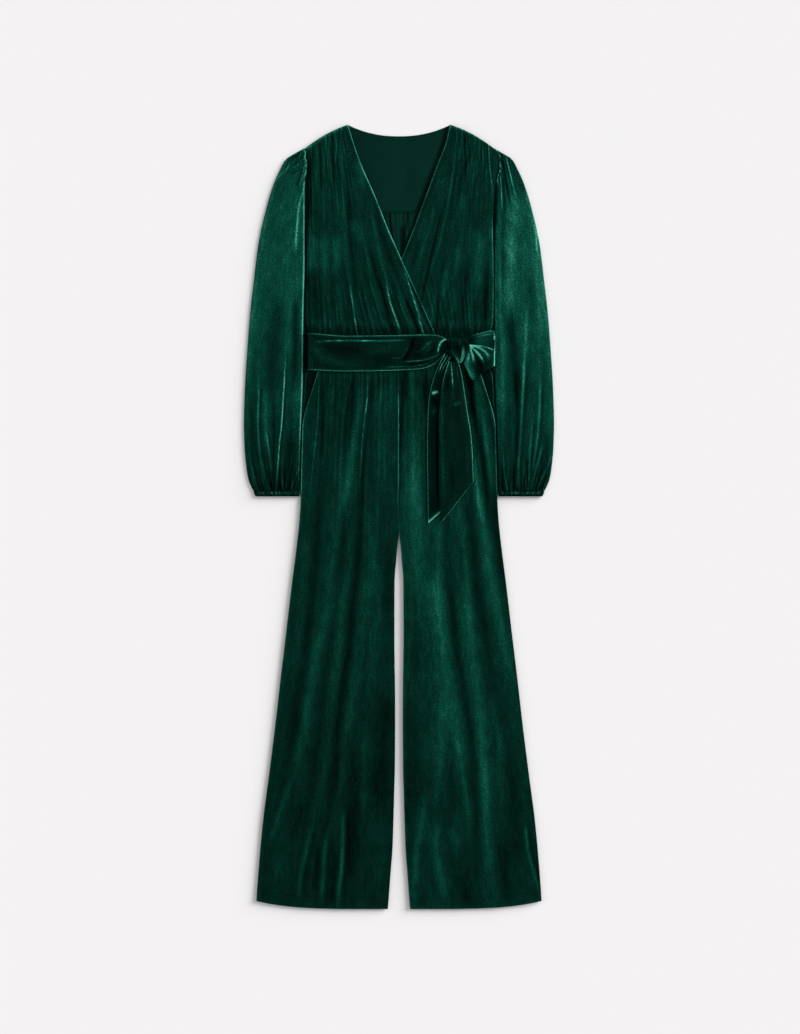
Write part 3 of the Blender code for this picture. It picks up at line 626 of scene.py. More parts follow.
def make_back_bodice():
    rows = np.concatenate([
        [HALF_SEAM, 1, 2.2, 4], np.linspace(6, 84, 32), np.linspace(88, 222, 34),
        np.linspace(223, 226.5, 6), np.linspace(230, 258.85, 8),
    ]) + YOKE_SEAM
    share = np.linspace(-1, 1, 161)
    x = hidden_side(rows)[:, None] * (0.4 * share + 0.6 * share**3)  # finer in the middle, which shows
    drop = rows[:, None] + 0 * x
    low, nap = soft_lift(x, drop, 4, 7, (-150, 150, 200, 360))
    low *= 1 - ramp(drop, 330, 366)
    # The gathers and the inside creases give height, and painted highlights and painted shade along them.
    ruffle, streaks = press(x, drop, YOKE_GATHERS)
    deep, dark = press(x, drop, INSIDE_CREASES)
    ruffle, streaks = ruffle + np.maximum(deep, 0), 0.4 * streaks + dark + neck_shade(x, drop, 8)
    # Painted shade deep in the V, right of the centre.
    streaks -= 0.55 * ramp(drop, 196, 230) * ramp(x, 0, 5)
    # A dark line at the yoke seam, and painted shadow on the side strips beside the sleeves.
    nap = nap + streaks - 0.4 * hump(drop - YOKE_SEAM, 2) - 0.8 * ramp(np.abs(x), 166, 172)
    full = np.clip(ruffle, 0, 1.6) * (1 - 0.6 * ramp(low, 0.2, 0.8))
    seam = 0.5 * hump(drop - YOKE_SEAM, 2.0)
    under = low + back_lift(drop)
    return sew("back_bodice_cloth", place(x, drop, under + CLOTH + full + seam),
               place(x, drop, under), [wrong_side, pile], nap)


back_bodice_cloth = make_back_bodice()

# %% [markdown]
# ## Trouser legs
# Each wide leg is a back and a front from the waist to the hem. The back shows only at its edges and
# is plain. The front's outer edge is the slanted pocket mouth and then the side seam, its inner edge
# the centre seam and then the inseam. Long soft folds fall from the hip to the hem, and a few sharp
# ones run down from the sash. One closed tube for a leg would be simpler, but it would have no mouth.

# %% Trouser backs
def hem_rise(u):
    """How much higher the hem is than its inner corner, where u is 0 at the side seam."""
    return 15 * (1 - u) ** 4


def leg_grid(outer_of, columns, spacing, extra=()):
    """Rows that are level at the waist, follow the hem at the bottom, and are finer at the hip."""
    top, knee = WAIST + HALF_SEAM, 640.0
    level = np.concatenate([np.sort([*np.arange(top, knee, spacing[0]), *extra]),
                            np.arange(knee + spacing[1] / 2, LENGTH - 4.5, spacing[1]),
                            LENGTH - BEAD[::-1]])
    share = across(outer_of(level) - inseam(level), columns)
    u = share / share[:, -1:]
    drop = level[:, None] - hem_rise(u) * ramp(level, 1000, LENGTH)[:, None]
    outer, inner = outer_of(drop), inseam(drop)
    return u, mix(outer, inner, u), drop, outer - inner


def seam_lift(drop, from_side, from_centre):
    """The side seam and the inseam stand a little off the table too, away from the sash."""
    away = ramp(drop, 480, 560)
    return shoulder_lift(from_side) * away + shoulder_lift(from_centre) * ramp(drop, 690, 760)


def make_trouser_back(side, word):
    beside_sash = (SASH_FOOT - 0.2, SASH_FOOT + 0.3)  # rows at the step in the side, below the sash
    u, x, drop, width = leg_grid(hidden_side, 44, (7.0, 9.0), beside_sash)
    from_side, from_centre = u * width, (1 - u) * width
    low, nap = soft_lift(x, drop, 11 if side < 0 else 12, 7, (30, 200, 520, 1400))
    low *= ramp(from_side, 0, 20) * ramp(from_centre, 0, 20) * ramp(drop, 480, 520)
    low *= ramp(LENGTH - drop, 0, 60)
    under = low + seam_lift(drop, from_side, from_centre) + back_lift(drop)
    # Painted shadow along the side edge, where it shows in the gap beside the sleeve.
    nap = nap - 0.8 * (1 - ramp(from_side, 3, 8)) * (1 - ramp(drop, 640, 690))
    return sew(f"trouser_back_{word}_cloth", place(side * x, drop, under + CLOTH),
               place(side * x, drop, under), [wrong_side, pile], nap)


trouser_backs = {word: make_trouser_back(side, word) for side, word in SIDES}

# %% Folds of the legs
# Each fold: width, height, how pale its painted highlight, how dark the painted shadow on its right, then
# its points.
LEG_LEFT_CREASES = [
    (1.6, 1, .6, .3, (-146, 438), (-148, 475), (-150, 546), (-154, 586), (-163, 666), (-168, 712)),
    (3.4, -.9, -.34, 0, (-142, 450), (-142, 509), (-144, 583), (-148, 648)),
    (3, .5, .12, 0, (-127, 438), (-126, 500), (-128, 564)),
    (2.6, -.6, -.2, 0, (-117, 438), (-117, 500), (-119, 564)),
    (1.4, 1, .4, .2, (-86, 438), (-88, 466), (-95, 496), (-103, 541), (-110, 592)),
    (7.5, -1, -.3, 0, (-80, 446), (-84, 481), (-89, 527), (-94, 574), (-102, 620)),
    (7, .9, .36, 0, (-72, 435), (-73, 475), (-76, 536), (-85, 581), (-92, 646), (-100, 694), (-107, 749)),
    (1.5, 1.8, .95, .3, (-57, 427), (-58, 456), (-59, 506), (-64, 546), (-68, 586), (-71, 635),
     (-75, 694)),
    (2.6, -1, -.38, 0, (-53, 438), (-54, 500), (-58, 555), (-63, 601), (-68, 657), (-70, 722)),
    (1.5, .6, .24, 0, (-44, 431), (-44, 481), (-45, 524)),
    (1.5, .6, .24, 0, (-32, 431), (-32, 481), (-33, 524)),
    (1.8, .6, .28, 0, (-15, 431), (-15, 481), (-15, 524)),
    (13, .5, .14, 0, (-28, 462), (-31, 564), (-35, 694)),
    (12, 1, .18, 0, (-107, 583), (-109, 694), (-118, 768), (-126, 827), (-131, 879), (-142, 944)),
    (8, 1, .27, 0, (-128, 823), (-137, 897), (-146, 947), (-155, 993), (-163, 1040), (-172, 1086),
     (-179, 1138), (-194, 1190), (-209, 1238), (-226, 1286)),
    (5, .9, .26, 0, (-200, 1204), (-211, 1241), (-224, 1278), (-235, 1312), (-253, 1349)),
    (7.5, 1, .18, 0, (-98, 786), (-102, 853), (-111, 936), (-115, 993), (-120, 1030), (-126, 1080),
     (-133, 1156)),
    (6, .9, .13, 0, (-126, 1064), (-133, 1149), (-141, 1201), (-157, 1267), (-166, 1319), (-174, 1360)),
    (4.2, 1.2, .36, .2, (-163, 1282), (-170, 1332), (-179, 1371), (-185, 1415), (-188, 1456)),
    (9, .8, .2, 0, (-52, 660), (-54, 749), (-56, 812), (-65, 897), (-70, 947), (-76, 993), (-87, 1060)),
    (7.5, .8, .2, 0, (-76, 971), (-87, 1051), (-96, 1103), (-102, 1154), (-107, 1206), (-115, 1252),
     (-122, 1315)),
    (7, .7, .13, 0, (-54, 746), (-50, 796), (-41, 842), (-41, 890), (-44, 947), (-50, 1008), (-52, 1075)),
    (6, .7, .15, 0, (-67, 1092), (-67, 1156), (-67, 1202), (-68, 1258), (-70, 1319)),
    (4.2, 1.1, .36, .2, (-133, 1289), (-139, 1360), (-142, 1406), (-146, 1462)),
    (4.2, 1.4, .5, .3, (-103, 1252), (-104, 1323), (-107, 1378), (-113, 1430), (-115, 1474)),
    (8, .5, .09, 0, (-166, 675), (-178, 805), (-183, 897), (-191, 971), (-202, 1073)),
    (14, .5, .1, 0, (-196, 1286), (-211, 1341), (-224, 1406)),
    (14, .5, .1, 0, (-35, 1276), (-41, 1341), (-44, 1424)),
    (6, .4, .09, 0, (-211, 1104), (-222, 1184), (-233, 1249), (-244, 1314)),
    (8, -1.2, -.24, 0, (-141, 583), (-144, 657), (-152, 734), (-157, 812), (-165, 879), (-172, 947),
     (-181, 1019), (-191, 1071), (-196, 1123), (-209, 1175), (-222, 1227), (-237, 1278), (-253, 1326)),
    (7, -.8, -.22, 0, (-101, 690), (-105, 749), (-107, 805), (-115, 864)),
    (5.5, -.8, -.16, 0, (-117, 851), (-120, 916), (-128, 953), (-135, 999), (-141, 1045), (-146, 1092),
     (-152, 1147), (-159, 1202), (-168, 1252), (-179, 1315)),
    (6.5, -1.3, -.34, 0, (-67, 601), (-70, 688), (-76, 786), (-81, 838), (-87, 890), (-94, 968),
     (-102, 1019), (-109, 1071), (-115, 1123), (-118, 1175), (-122, 1227), (-133, 1278), (-144, 1330),
     (-154, 1397)),
    (8, -.9, -.2, 0, (-20, 758), (-22, 842), (-24, 897), (-26, 962)),
    (17, -.8, -.2, 0, (-24, 1018), (-28, 1119), (-33, 1212), (-39, 1301)),
    (12, -.8, -.2, 0, (-85, 1119), (-87, 1230), (-87, 1323), (-91, 1415)),
    (5, -.8, -.28, 0, (-150, 1323), (-152, 1378), (-159, 1443)),
    (4, -.7, -.22, 0, (-120, 1326), (-122, 1397), (-126, 1456)),
    (7, -.7, -.18, 0, (-179, 1245), (-191, 1297), (-204, 1341)),
    (8, -.7, -.14, 0, (-89, 1286), (-92, 1360), (-96, 1434)),
]
LEG_RIGHT_CREASES = [
    (3, -1, -.5, 0, (6, 446), (5, 509), (4, 555), (1, 601), (0, 657)),
    (5, -.8, -.32, 0, (9, 416), (10, 472), (10, 531)),
    (3, .6, .18, 0, (26, 435), (26, 490), (28, 536)),
    (5, -.9, -.38, 0, (47, 438), (48, 490), (47, 555)),
    (13, .9, .18, 0, (30, 516), (27, 564), (24, 620), (23, 675), (22, 758)),
    (15, .9, .18, 0, (28, 583), (28, 657), (28, 731), (28, 805), (31, 888)),
    (17, .5, .14, 0, (39, 657), (39, 768), (41, 879), (43, 980)),
    (4.5, -1.4, -.9, 0, (126, 427), (130, 472), (135, 518), (141, 561)),
    (4.5, -1, -.46, 0, (131, 498), (144, 564), (152, 610), (159, 657), (165, 712), (172, 768)),
    (4.8, 1, .3, 0, (140, 446), (146, 500), (153, 542), (161, 592), (166, 638), (170, 703)),
    (3, -.9, -.36, 0, (154, 475), (165, 524), (172, 564), (177, 610)),
    (4.5, 1, .26, 0, (135, 605), (142, 657), (147, 697), (154, 753)),
    (6, -.7, -.22, 0, (124, 694), (126, 722), (126, 753)),
    (6, .6, .14, 0, (109, 684), (109, 716), (107, 746)),
    (8, 1.2, .18, 0, (72, 675), (70, 749), (72, 801), (70, 864), (72, 916), (78, 968), (85, 1027)),
    (15, 1.2, .26, 0, (68, 777), (70, 879), (78, 968), (85, 1019), (94, 1071), (105, 1123), (111, 1175),
     (115, 1240)),
    (5.5, .9, .26, 0, (98, 1104), (109, 1160), (117, 1208), (124, 1252), (131, 1293), (141, 1345)),
    (7.5, .8, .2, 0, (85, 1027), (76, 1086), (78, 1149), (72, 1201), (70, 1264)),
    (7, .8, .15, 0, (115, 679), (117, 749), (120, 801), (126, 879), (133, 980)),
    (9.5, 1.1, .27, 0, (118, 768), (124, 864), (128, 916), (133, 968), (139, 1019), (146, 1071),
     (150, 1123), (155, 1175), (157, 1227), (159, 1278), (163, 1330), (168, 1382), (176, 1471)),
    (9, .9, .17, 0, (150, 1119), (157, 1212), (161, 1304), (166, 1397), (174, 1489)),
    (8, 1.3, .32, 0, (139, 610), (142, 675), (150, 709), (159, 760), (163, 812), (174, 864), (185, 916),
     (194, 968), (204, 1019), (216, 1092)),
    (5.5, .9, .3, 0, (47, 1221), (39, 1295), (31, 1356), (26, 1423), (22, 1471)),
    (7.5, .9, .3, 0, (65, 1267), (67, 1341), (74, 1382), (83, 1423), (89, 1467)),
    (6.5, .7, .2, 0, (92, 1276), (102, 1323), (115, 1371), (124, 1415)),
    (3.4, 1.3, .42, .3, (231, 1275), (235, 1315), (239, 1345), (248, 1378), (255, 1404), (265, 1437)),
    (9, .5, .09, 0, (174, 1027), (181, 1119), (187, 1212), (191, 1341)),
    (6.5, -1.1, -.28, 0, (83, 684), (85, 768), (87, 838), (96, 890), (104, 968), (115, 1019),
     (124, 1086), (133, 1149), (137, 1215), (141, 1278), (144, 1378), (150, 1498)),
    (8, -1, -.24, 0, (133, 675), (135, 768), (139, 842), (152, 906), (163, 968), (172, 1019),
     (181, 1071), (192, 1123), (204, 1208)),
    (6, -.9, -.26, 0, (172, 638), (176, 712), (181, 777), (189, 823), (200, 888)),
    (6, -.6, -.13, 0, (30, 864), (30, 934), (30, 990), (30, 1054)),
    (14, -.8, -.2, 0, (28, 1073), (24, 1156), (24, 1221), (22, 1301)),
    (6, -.8, -.2, 0, (91, 1166), (96, 1221), (100, 1286)),
    (14, -.7, -.24, 0, (104, 1323), (115, 1388), (126, 1480)),
    (13, -.8, -.2, 0, (198, 1110), (207, 1212), (213, 1304), (220, 1443)),
    (10, -.8, -.22, 0, (183, 1308), (192, 1378), (204, 1449)),
    (3, .5, .12, 0, (17, 925), (17, 980), (15, 1054)),
    (4, -.4, -.16, 0, (15, 953), (15, 1101), (16, 1230), (20, 1341), (24, 1434)),
]
LEG_TRAIN = [
    (.10, 2.0, .8, .4, 1.6), (.23, 2.6, 1.6, 1.6, .5), (.36, 2.2, .5, .6, 1.8),
    (.49, 3.0, 2.0, 1.8, .6), (.63, 2.4, .9, .3, 2.2), (.76, 3.2, 1.2, 1.4, 1.2), (.88, 2.4, .5, .5, .8),
]
for creases, (x0, x1), (x2, x3), (x4, x5), (x6, x7), seed in (
    (LEG_LEFT_CREASES, (-148, -4), (-158, -4), (-146, -6), (-176, -10), 21),
    (LEG_RIGHT_CREASES, (4, 148), (4, 158), (6, 146), (10, 176), 22),
):
    creases += gathers(((x0, 445), (x1, 445)), ((x2, 560), (x3, 560)), 22, 1.9, .8, .12, .14, seed)
    creases += gathers(((x4, 452), (x5, 452)), ((x6, 900), (x7, 900)), 13, 2.4, .5, .1, .12, seed + 2,
                       (.4, 1.0))
print("the legs have", len(LEG_LEFT_CREASES), "and", len(LEG_RIGHT_CREASES), "creases")

# %% Trouser fronts
HEM_STITCH = 18  # from the hem to its stitches
MOUTH_FOOT = 556  # where the pocket mouth ends in the side seam


def leg_tone(side, drop, from_side, from_centre, from_hem):
    """Painted highlights on the turned edges and hem, the centre seam, and each leg darker or paler as a
    whole.
    """
    tone = fading(from_side, 1.2) * mix(0.95, 0.35, ramp(drop, 640, 780))
    if side < 0:  # this leg laps over the other in the centre seam, with a painted highlight along its edge
        centre = 0.95 * mix(0.35, 1.0, ramp(drop, 485, 515)) * (1 - 0.8 * ramp(drop, 655, 710))
        whole = -0.13 * ramp(drop, 950, 1250)
    else:
        # painted shadow beside the other leg's lapping edge
        centre = -0.7 * ramp(drop, 490, 540) * (1 - ramp(drop, 660, 700))
        whole = 0.06 - 0.09 * ramp(drop, 1120, 1300)
    tone = tone + fading(from_centre, 1.3) * (centre + 0.25 * ramp(drop, 690, 760))
    tone = tone + 0.4 * fading(from_hem, 1.2) - 0.12 * hump(from_hem - HEM_STITCH, 2)
    return tone + whole


def make_trouser_front(side, word, creases):
    def outer_of(drop):
        mouth = np.minimum(side_seam(drop), pocket_mouth(drop))
        return np.where(drop < MOUTH_FOOT, mouth, side_seam(drop))

    u, x, drop, width = leg_grid(outer_of, 102, (2.6, 4.4))
    x = side * x
    from_side, from_centre = u * width, (1 - u) * width
    from_hem = LENGTH - hem_rise(u) - drop
    height, nap = press(x, drop, creases)
    height = np.maximum(height, -1.6) * rolled(from_side, 14) * rolled(from_centre, 12)
    height += 0.45 * train(LEG_TRAIN, (475, 610, 1050, 1400), u, drop)
    height *= mix(0.3, 1.0, ramp(drop, 448, 470))
    over_pocket = 1 - ramp(drop, 532, 562)
    lift = seam_lift(drop, from_side, from_centre)
    low_out = mix(closed_edge(drop), front_level(drop) - 0.2, over_pocket) + lift * (1 - over_pocket)
    low_in = mix(front_level(drop) - 1.0, closed_edge(drop), ramp(drop, CROTCH - 20, CROTCH + 30)) + lift
    z = mix(low_out, front_level(drop) + height, rolled(from_side, 9))
    z = mix(low_in, z, rolled(from_centre, 9))
    z = z + 1.3 * (1 - np.clip(from_hem / 25, 0, 1)) ** 2
    reverse = place(x, drop, z - CLOTH)
    z = z - bead(from_side, mix(0.7, 1.05, over_pocket)) - bead(from_centre, 0.7) - bead(from_hem)
    z -= 0.35 * hump(from_hem - HEM_STITCH, 1.5)
    nap = nap + leg_tone(side, drop, from_side, from_centre, from_hem)
    return sew(f"trouser_front_{word}_cloth", place(x, drop, z), reverse, [pile, wrong_side], nap)


trouser_fronts = {
    "left": make_trouser_front(-1, "left", LEG_LEFT_CREASES),
    "right": make_trouser_front(1, "right", LEG_RIGHT_CREASES),
}

# %% [markdown]
# ## Pocket facings
# The slanted mouth of a pocket shows a strip of the cloth behind it. Only that strip is made, and as
# much beside it as has to run in under the front. A dent in the front would look much the same from
# above, but two layers leave a real gap at the mouth.

# %% Pocket facings
FACING, TUCKED, FACING_FOOT = 1.2, 14, 528  # thickness, reach under the front, and lower end


def make_pocket(side, word):
    drop = np.linspace(WAIST + HALF_SEAM, FACING_FOOT, 44)[:, None]
    outer, mouth = side_seam(drop), pocket_mouth(drop)
    x = mix(outer, mouth - TUCKED, np.concatenate([BEAD / 40, np.linspace(0, 1, 16)[3:]])[None])
    z = CLOTH + front_lift(drop) + 0.4 + FACING + 0 * x
    # Painted shade over the facing, deepest just under the mouth, and a painted highlight along its
    # turned outer edge.
    nap = -0.35 - 0.4 * hump(x - mouth, 4) + 0.9 * hump(outer - x, 1.4)
    return sew(f"pocket_{word}_cloth", place(side * x, drop, z - bead(outer - x, 0.7)),
               place(side * x, drop, z - FACING), [pile, wrong_side], nap)


pockets = {word: make_pocket(side, word) for side, word in SIDES}

# %% [markdown]
# ## Wrap fronts
# The two fronts start at the shoulder points and cross over the centre. The left one in the picture
# laps over the other. Their neck edges are turned, their shoulder ends are gathered into the seam, and
# fans of folds run down and across to the sash. Each is a whole sheet, also where it is covered, so
# that the upper one is raised by a real layer.

# %% Folds of the wrap
# Each fold: width, height, how pale its painted highlight, how dark the painted shadow on its right, then
# its points.
LAP_CREASES = [
    (3.2, -1.2, -.5, 0, (-163, 33), (-164, 83), (-165, 148), (-166, 198)),
    (4, .6, .14, 0, (-152, 24), (-154, 65), (-156, 111), (-159, 161)),
    (1.5, -1, -.5, 0, (-146, 20), (-146, 46), (-145, 92), (-144, 135)),
    (5, .6, .12, 0, (-133, 15), (-133, 65), (-133, 117)),
    (1.5, -1, -.6, 0, (-123, 6), (-123, 37), (-122, 87), (-120, 130)),
    (1.6, 1, .4, 0, (-119, 2), (-118, 31), (-117, 76)),
    (3.4, .9, .2, 0, (-115, 9), (-107, 74), (-105, 139), (-101, 204), (-97, 259), (-94, 309)),
    (2.1, 1.8, .95, .3, (-91, 281), (-89, 309), (-83, 349), (-78, 386), (-70, 431), (-66, 462)),
    (3.6, -1, -.26, 0, (-98, 83), (-94, 137), (-93, 194), (-88, 240), (-85, 278), (-81, 322), (-75, 383)),
    (2.8, .5, .14, 0, (-139, 87), (-139, 148), (-139, 209)),
    (2.4, .5, .14, 0, (-130, 98), (-129, 148), (-128, 198)),
    (2.4, .5, .14, 0, (-117, 92), (-115, 139), (-114, 191)),
    (9, .5, .28, 0, (-163, 198), (-162, 239), (-163, 283)),
    (8, .6, .28, 0, (-139, 198), (-139, 242), (-139, 287)),
    (8, .6, .28, 0, (-117, 198), (-117, 242), (-115, 292)),
    (1.6, -.6, -.25, 0, (-149, 198), (-149, 235), (-149, 272)),
    (1.6, -.5, -.2, 0, (-127, 194), (-127, 231), (-126, 276)),
    (11, -.6, -.22, 0, (-159, 253), (-159, 314), (-159, 376)),
    (2.4, .9, .24, 0, (-140, 246), (-139, 305), (-137, 361), (-136, 413)),
    (2.2, .5, .14, 0, (-116, 268), (-115, 324), (-114, 394)),
    (2.2, .5, .12, 0, (-108, 296), (-107, 383)),
    (2.4, -.7, -.18, 0, (-127, 272), (-125, 324), (-124, 394)),
    (3, -.6, -.16, 0, (-99, 305), (-95, 346), (-91, 398)),
    (9, .5, .2, 0, (-89, 172), (-78, 198), (-67, 224)),
    (3.4, .8, .18, 0, (-68, 187), (-61, 235), (-54, 292), (-46, 329), (-35, 363), (-24, 401)),
    (3.2, -1.1, -.42, 0, (-59, 213), (-50, 250), (-43, 278), (-34, 303), (-25, 335), (-15, 376),
     (-4, 416)),
    (3.6, .8, .22, 0, (-54, 135), (-48, 185), (-42, 216), (-34, 250), (-28, 278), (-20, 316)),
    (2.1, 2, 1.15, .2, (-26, 272), (-23, 296), (-15, 333), (-1, 372), (9, 413), (18, 446)),
    (5, -.9, -.28, 0, (-48, 135), (-39, 181), (-30, 216), (-20, 245), (-6, 278), (6, 309)),
    (6, .5, .2, 0, (-81, 56), (-72, 87), (-63, 120)),
    (1.9, 1.5, 1.1, 0, (2, 248), (15, 285), (27, 322), (37, 357), (44, 383), (57, 424), (65, 446)),
    (3.2, .8, .34, 0, (-4, 302), (4, 335), (14, 362), (22, 383), (33, 416)),
    (3.2, -1, -.5, 0, (7, 313), (22, 349), (33, 375), (43, 407)),
    (2.4, -.9, -.5, 0, (11, 272), (30, 311), (46, 350), (56, 376), (67, 413)),
    (3, -.8, -.3, 0, (-17, 305), (-6, 339), (7, 376), (18, 409)),
]
UNDER_CREASES = [
    (3, 1.1, .24, .1, (104, 24), (102, 65), (97, 105), (91, 139), (87, 161), (83, 181), (76, 211),
     (68, 242), (62, 259), (54, 296), (46, 333)),
    (2.4, -1.1, -.5, 0, (87, 120), (81, 154), (74, 179), (66, 211), (59, 242), (53, 269), (43, 316),
     (33, 361), (24, 407)),
    (3, .6, .2, 0, (65, 131), (62, 161), (56, 190), (48, 211), (42, 237), (37, 255), (31, 289)),
    (4, -.8, -.28, 0, (35, 205), (27, 246), (22, 281)),
    (1.5, -1, -.55, 0, (122, 6), (122, 46), (122, 87), (122, 117)),
    (1.5, 1.1, .5, .3, (149, -13), (152, 28), (157, 83)),
    (1.6, 1.2, .7, .3, (165, 13), (166, 46), (168, 80), (172, 113), (174, 142)),
    (6, .4, .16, 0, (135, 61), (137, 87), (137, 115)),
    (5, .4, .14, 0, (118, 124), (118, 148), (118, 172)),
    (12, .7, .26, 0, (146, 183), (146, 231), (146, 278), (142, 327)),
    (5, .6, .2, 0, (107, 216), (107, 253), (105, 292)),
    (4, .7, .26, 0, (87, 261), (83, 296), (81, 326)),
    (2.6, -.6, -.2, 0, (80, 242), (78, 272), (76, 300)),
    (4, -.9, -.3, 0, (126, 246), (122, 292), (118, 333), (117, 394)),
    (3.2, .6, .16, 0, (133, 296), (131, 333), (130, 385)),
    (3.2, .6, .14, 0, (150, 302), (149, 352), (148, 401)),
    (3.2, .8, .24, 0, (66, 305), (62, 346), (57, 385)),
    (2.8, .6, .14, 0, (100, 302), (98, 352), (96, 398)),
    (6, -.9, -.38, 0, (163, 242), (160, 305), (159, 394)),
    (2.4, -.9, -.48, 0, (73, 302), (71, 342), (68, 398)),
    (3, -.7, -.24, 0, (89, 320), (87, 385)),
    (3, -.7, -.22, 0, (141, 320), (141, 394)),
    (5, .5, .1, 0, (168, 131), (168, 250), (167, 368)),
]
WRAP_TRAIN = [
    (.08, 1.4, .2, .6), (.19, 2.4, .8, 1.6), (.30, 2.7, .4, 1.0), (.41, 2.2, 1.1, 2.6),
    (.52, 2.6, .3, 1.0), (.63, 1.8, .6, 3.2), (.74, .8, .9, 1.4), (.84, .3, .5, 3.4), (.93, .1, .9, 2.4),
]
LAP_CREASES += [
    *gathers(((-160, 388), (62, 388)), ((-160, 350), (45, 350)), 18, 2.2, 1.0, .28, .22, 31),
    *gathers(((-166, 44), (-104, 6)), ((-166, 120), (-112, 95)), 9, 1.7, .7, .2, .2, 33),
    *gathers(((-168, 60), (-92, 20)), ((-165, 330), (-40, 330)), 15, 1.8, .4, .12, .14, 35, (.45, .9)),
    *gathers(((-164, 396), (66, 396)), ((-168, 215), (-10, 235)), 20, 1.8, .6, .22, .26, 36, (.5, 1.0)),
]
UNDER_CREASES += [
    *gathers(((70, 388), (160, 388)), ((72, 350), (162, 350)), 9, 2.2, 1.0, .28, .22, 32),
    *gathers(((104, 6), (166, 44)), ((112, 95), (166, 120)), 9, 1.7, .7, .2, .2, 34),
    *gathers(((92, 20), (168, 60)), ((48, 330), (165, 330)), 15, 1.8, .4, .12, .14, 37, (.45, .9)),
    *gathers(((72, 396), (164, 396)), ((30, 240), (168, 215)), 13, 1.8, .6, .22, .26, 38, (.5, 1.0)),
]
print("the wrap fronts have", len(LAP_CREASES), "and", len(UNDER_CREASES), "creases")

# %% Sewing the wrap fronts
ARMHOLE_END = (234, 260)  # between these the open armhole closes into the side seam


def wrap_tone(side, drop, from_top, from_edge, from_side):
    """Painted highlights on the neck edge, shoulder and right armhole, painted shade at the left one,
    darker lower down.
    """
    glint = 0.9 + 0.1 * np.sin(from_top / 23 + 2 * np.sin(from_top / 9))
    wide = np.interp(drop, (60, 85, 150, 250, 275), (0.8, 1.7, 2.3, 2.2, 0.9)) if side < 0 else 1.0
    tone = (1.0 if side < 0 else 1.1) * glint * np.exp(-((from_edge / wide) ** 1.3))
    # painted shade a little in from the neck edge
    tone = tone - 0.12 * hump(from_edge - 6, 2.5)
    if side < 0:  # the sleeve's seam shades this edge of the body
        well = np.interp(drop, (46, 75, 95, 140, 195, 250, 330), (2, 3, 5, 5, 4, 3, 2))
        shade = 0.65 * (1 - ramp(from_side, 0.4 * well, 1.1 * well))
        tone = tone - shade * (1 - 0.5 * ramp(drop, 300, 400))
    else:  # and this one faces the window, so a painted highlight runs along it
        tone = tone + 0.9 * ramp(drop, 150, 212) * fading(from_side, 1.1)
    tone = tone + 0.55 * hump(from_top, 4) + 0.05
    return tone - (0.05 if side < 0 else 0.02) * ramp(drop, 220, 290) - 0.3 * ramp(drop, 364, 388)


def make_wrap(side, name, creases):
    last = WAIST - HALF_SEAM
    level = np.concatenate([[0, .4, 1, 1.9, 3.2, 5], np.linspace(7.5, last, 150)])
    from_top = level[:, None]
    side_drop = level + SHOULDER_DROP * (1 - level / last) ** 1.6
    side_x, edge_x = side * armholes[side](side_drop, 1), wrap_edge(level, 0 if side < 0 else 1)
    from_side = across(np.abs(side_x - edge_x), 118)
    from_edge = from_side[:, -1:] - from_side
    u = from_side / from_side[:, -1:]
    x = mix(side_x[:, None], edge_x[:, None], u)
    bow = 20 * u * (1 - u) * (1 - from_top / last) ** 4
    drop = mix(side_drop[:, None], from_top, u) - bow
    at_armhole = 1 - ramp(drop, *ARMHOLE_END)
    overlap = ramp(x, wrap_edge(drop, 1) - 32, wrap_edge(drop, 1) - 12) if side < 0 else 0 * x
    height, nap = press(x, drop, creases)
    height = height * rolled(from_side, 10) * rolled(from_edge, 8)
    height = np.maximum(height, -1.5 + 0.8 * overlap)
    height += 0.4 * train(WRAP_TRAIN, (60, 200, 380), u, drop)
    height *= 1 - 0.75 * ramp(drop, 370, 388)
    if side > 0:  # it is flat where the other front covers it
        height *= ramp(x, wrap_edge(drop, 0) + 4, wrap_edge(drop, 0) + 26)
    low = mix(closed_edge(drop), front_level(drop) - 0.8, at_armhole)
    z = mix(low, front_level(drop) + height, rolled(from_side, 9)) + 2.5 * overlap
    z -= 0.9 * (1 - ramp(from_edge, 0, 16)) * (1 - ramp(drop, 190, 215))
    z = mix(closed_edge(drop) + shoulder_lift(from_top), z, rolled(from_top + 0.5, 12))
    reverse = place(x, drop, z - CLOTH)
    z = z - bead(from_edge) - bead(from_side, 0.6 + 0.4 * at_armhole) - bead(from_top, 0.7)
    nap = nap + wrap_tone(side, drop, from_top, from_edge, from_side)
    return sew(name, place(x, drop, z), reverse, [pile, wrong_side], nap)


wrap_under_cloth = make_wrap(1, "wrap_under_cloth", UNDER_CREASES)
wrap_lap_cloth = make_wrap(-1, "wrap_lap_cloth", LAP_CREASES)
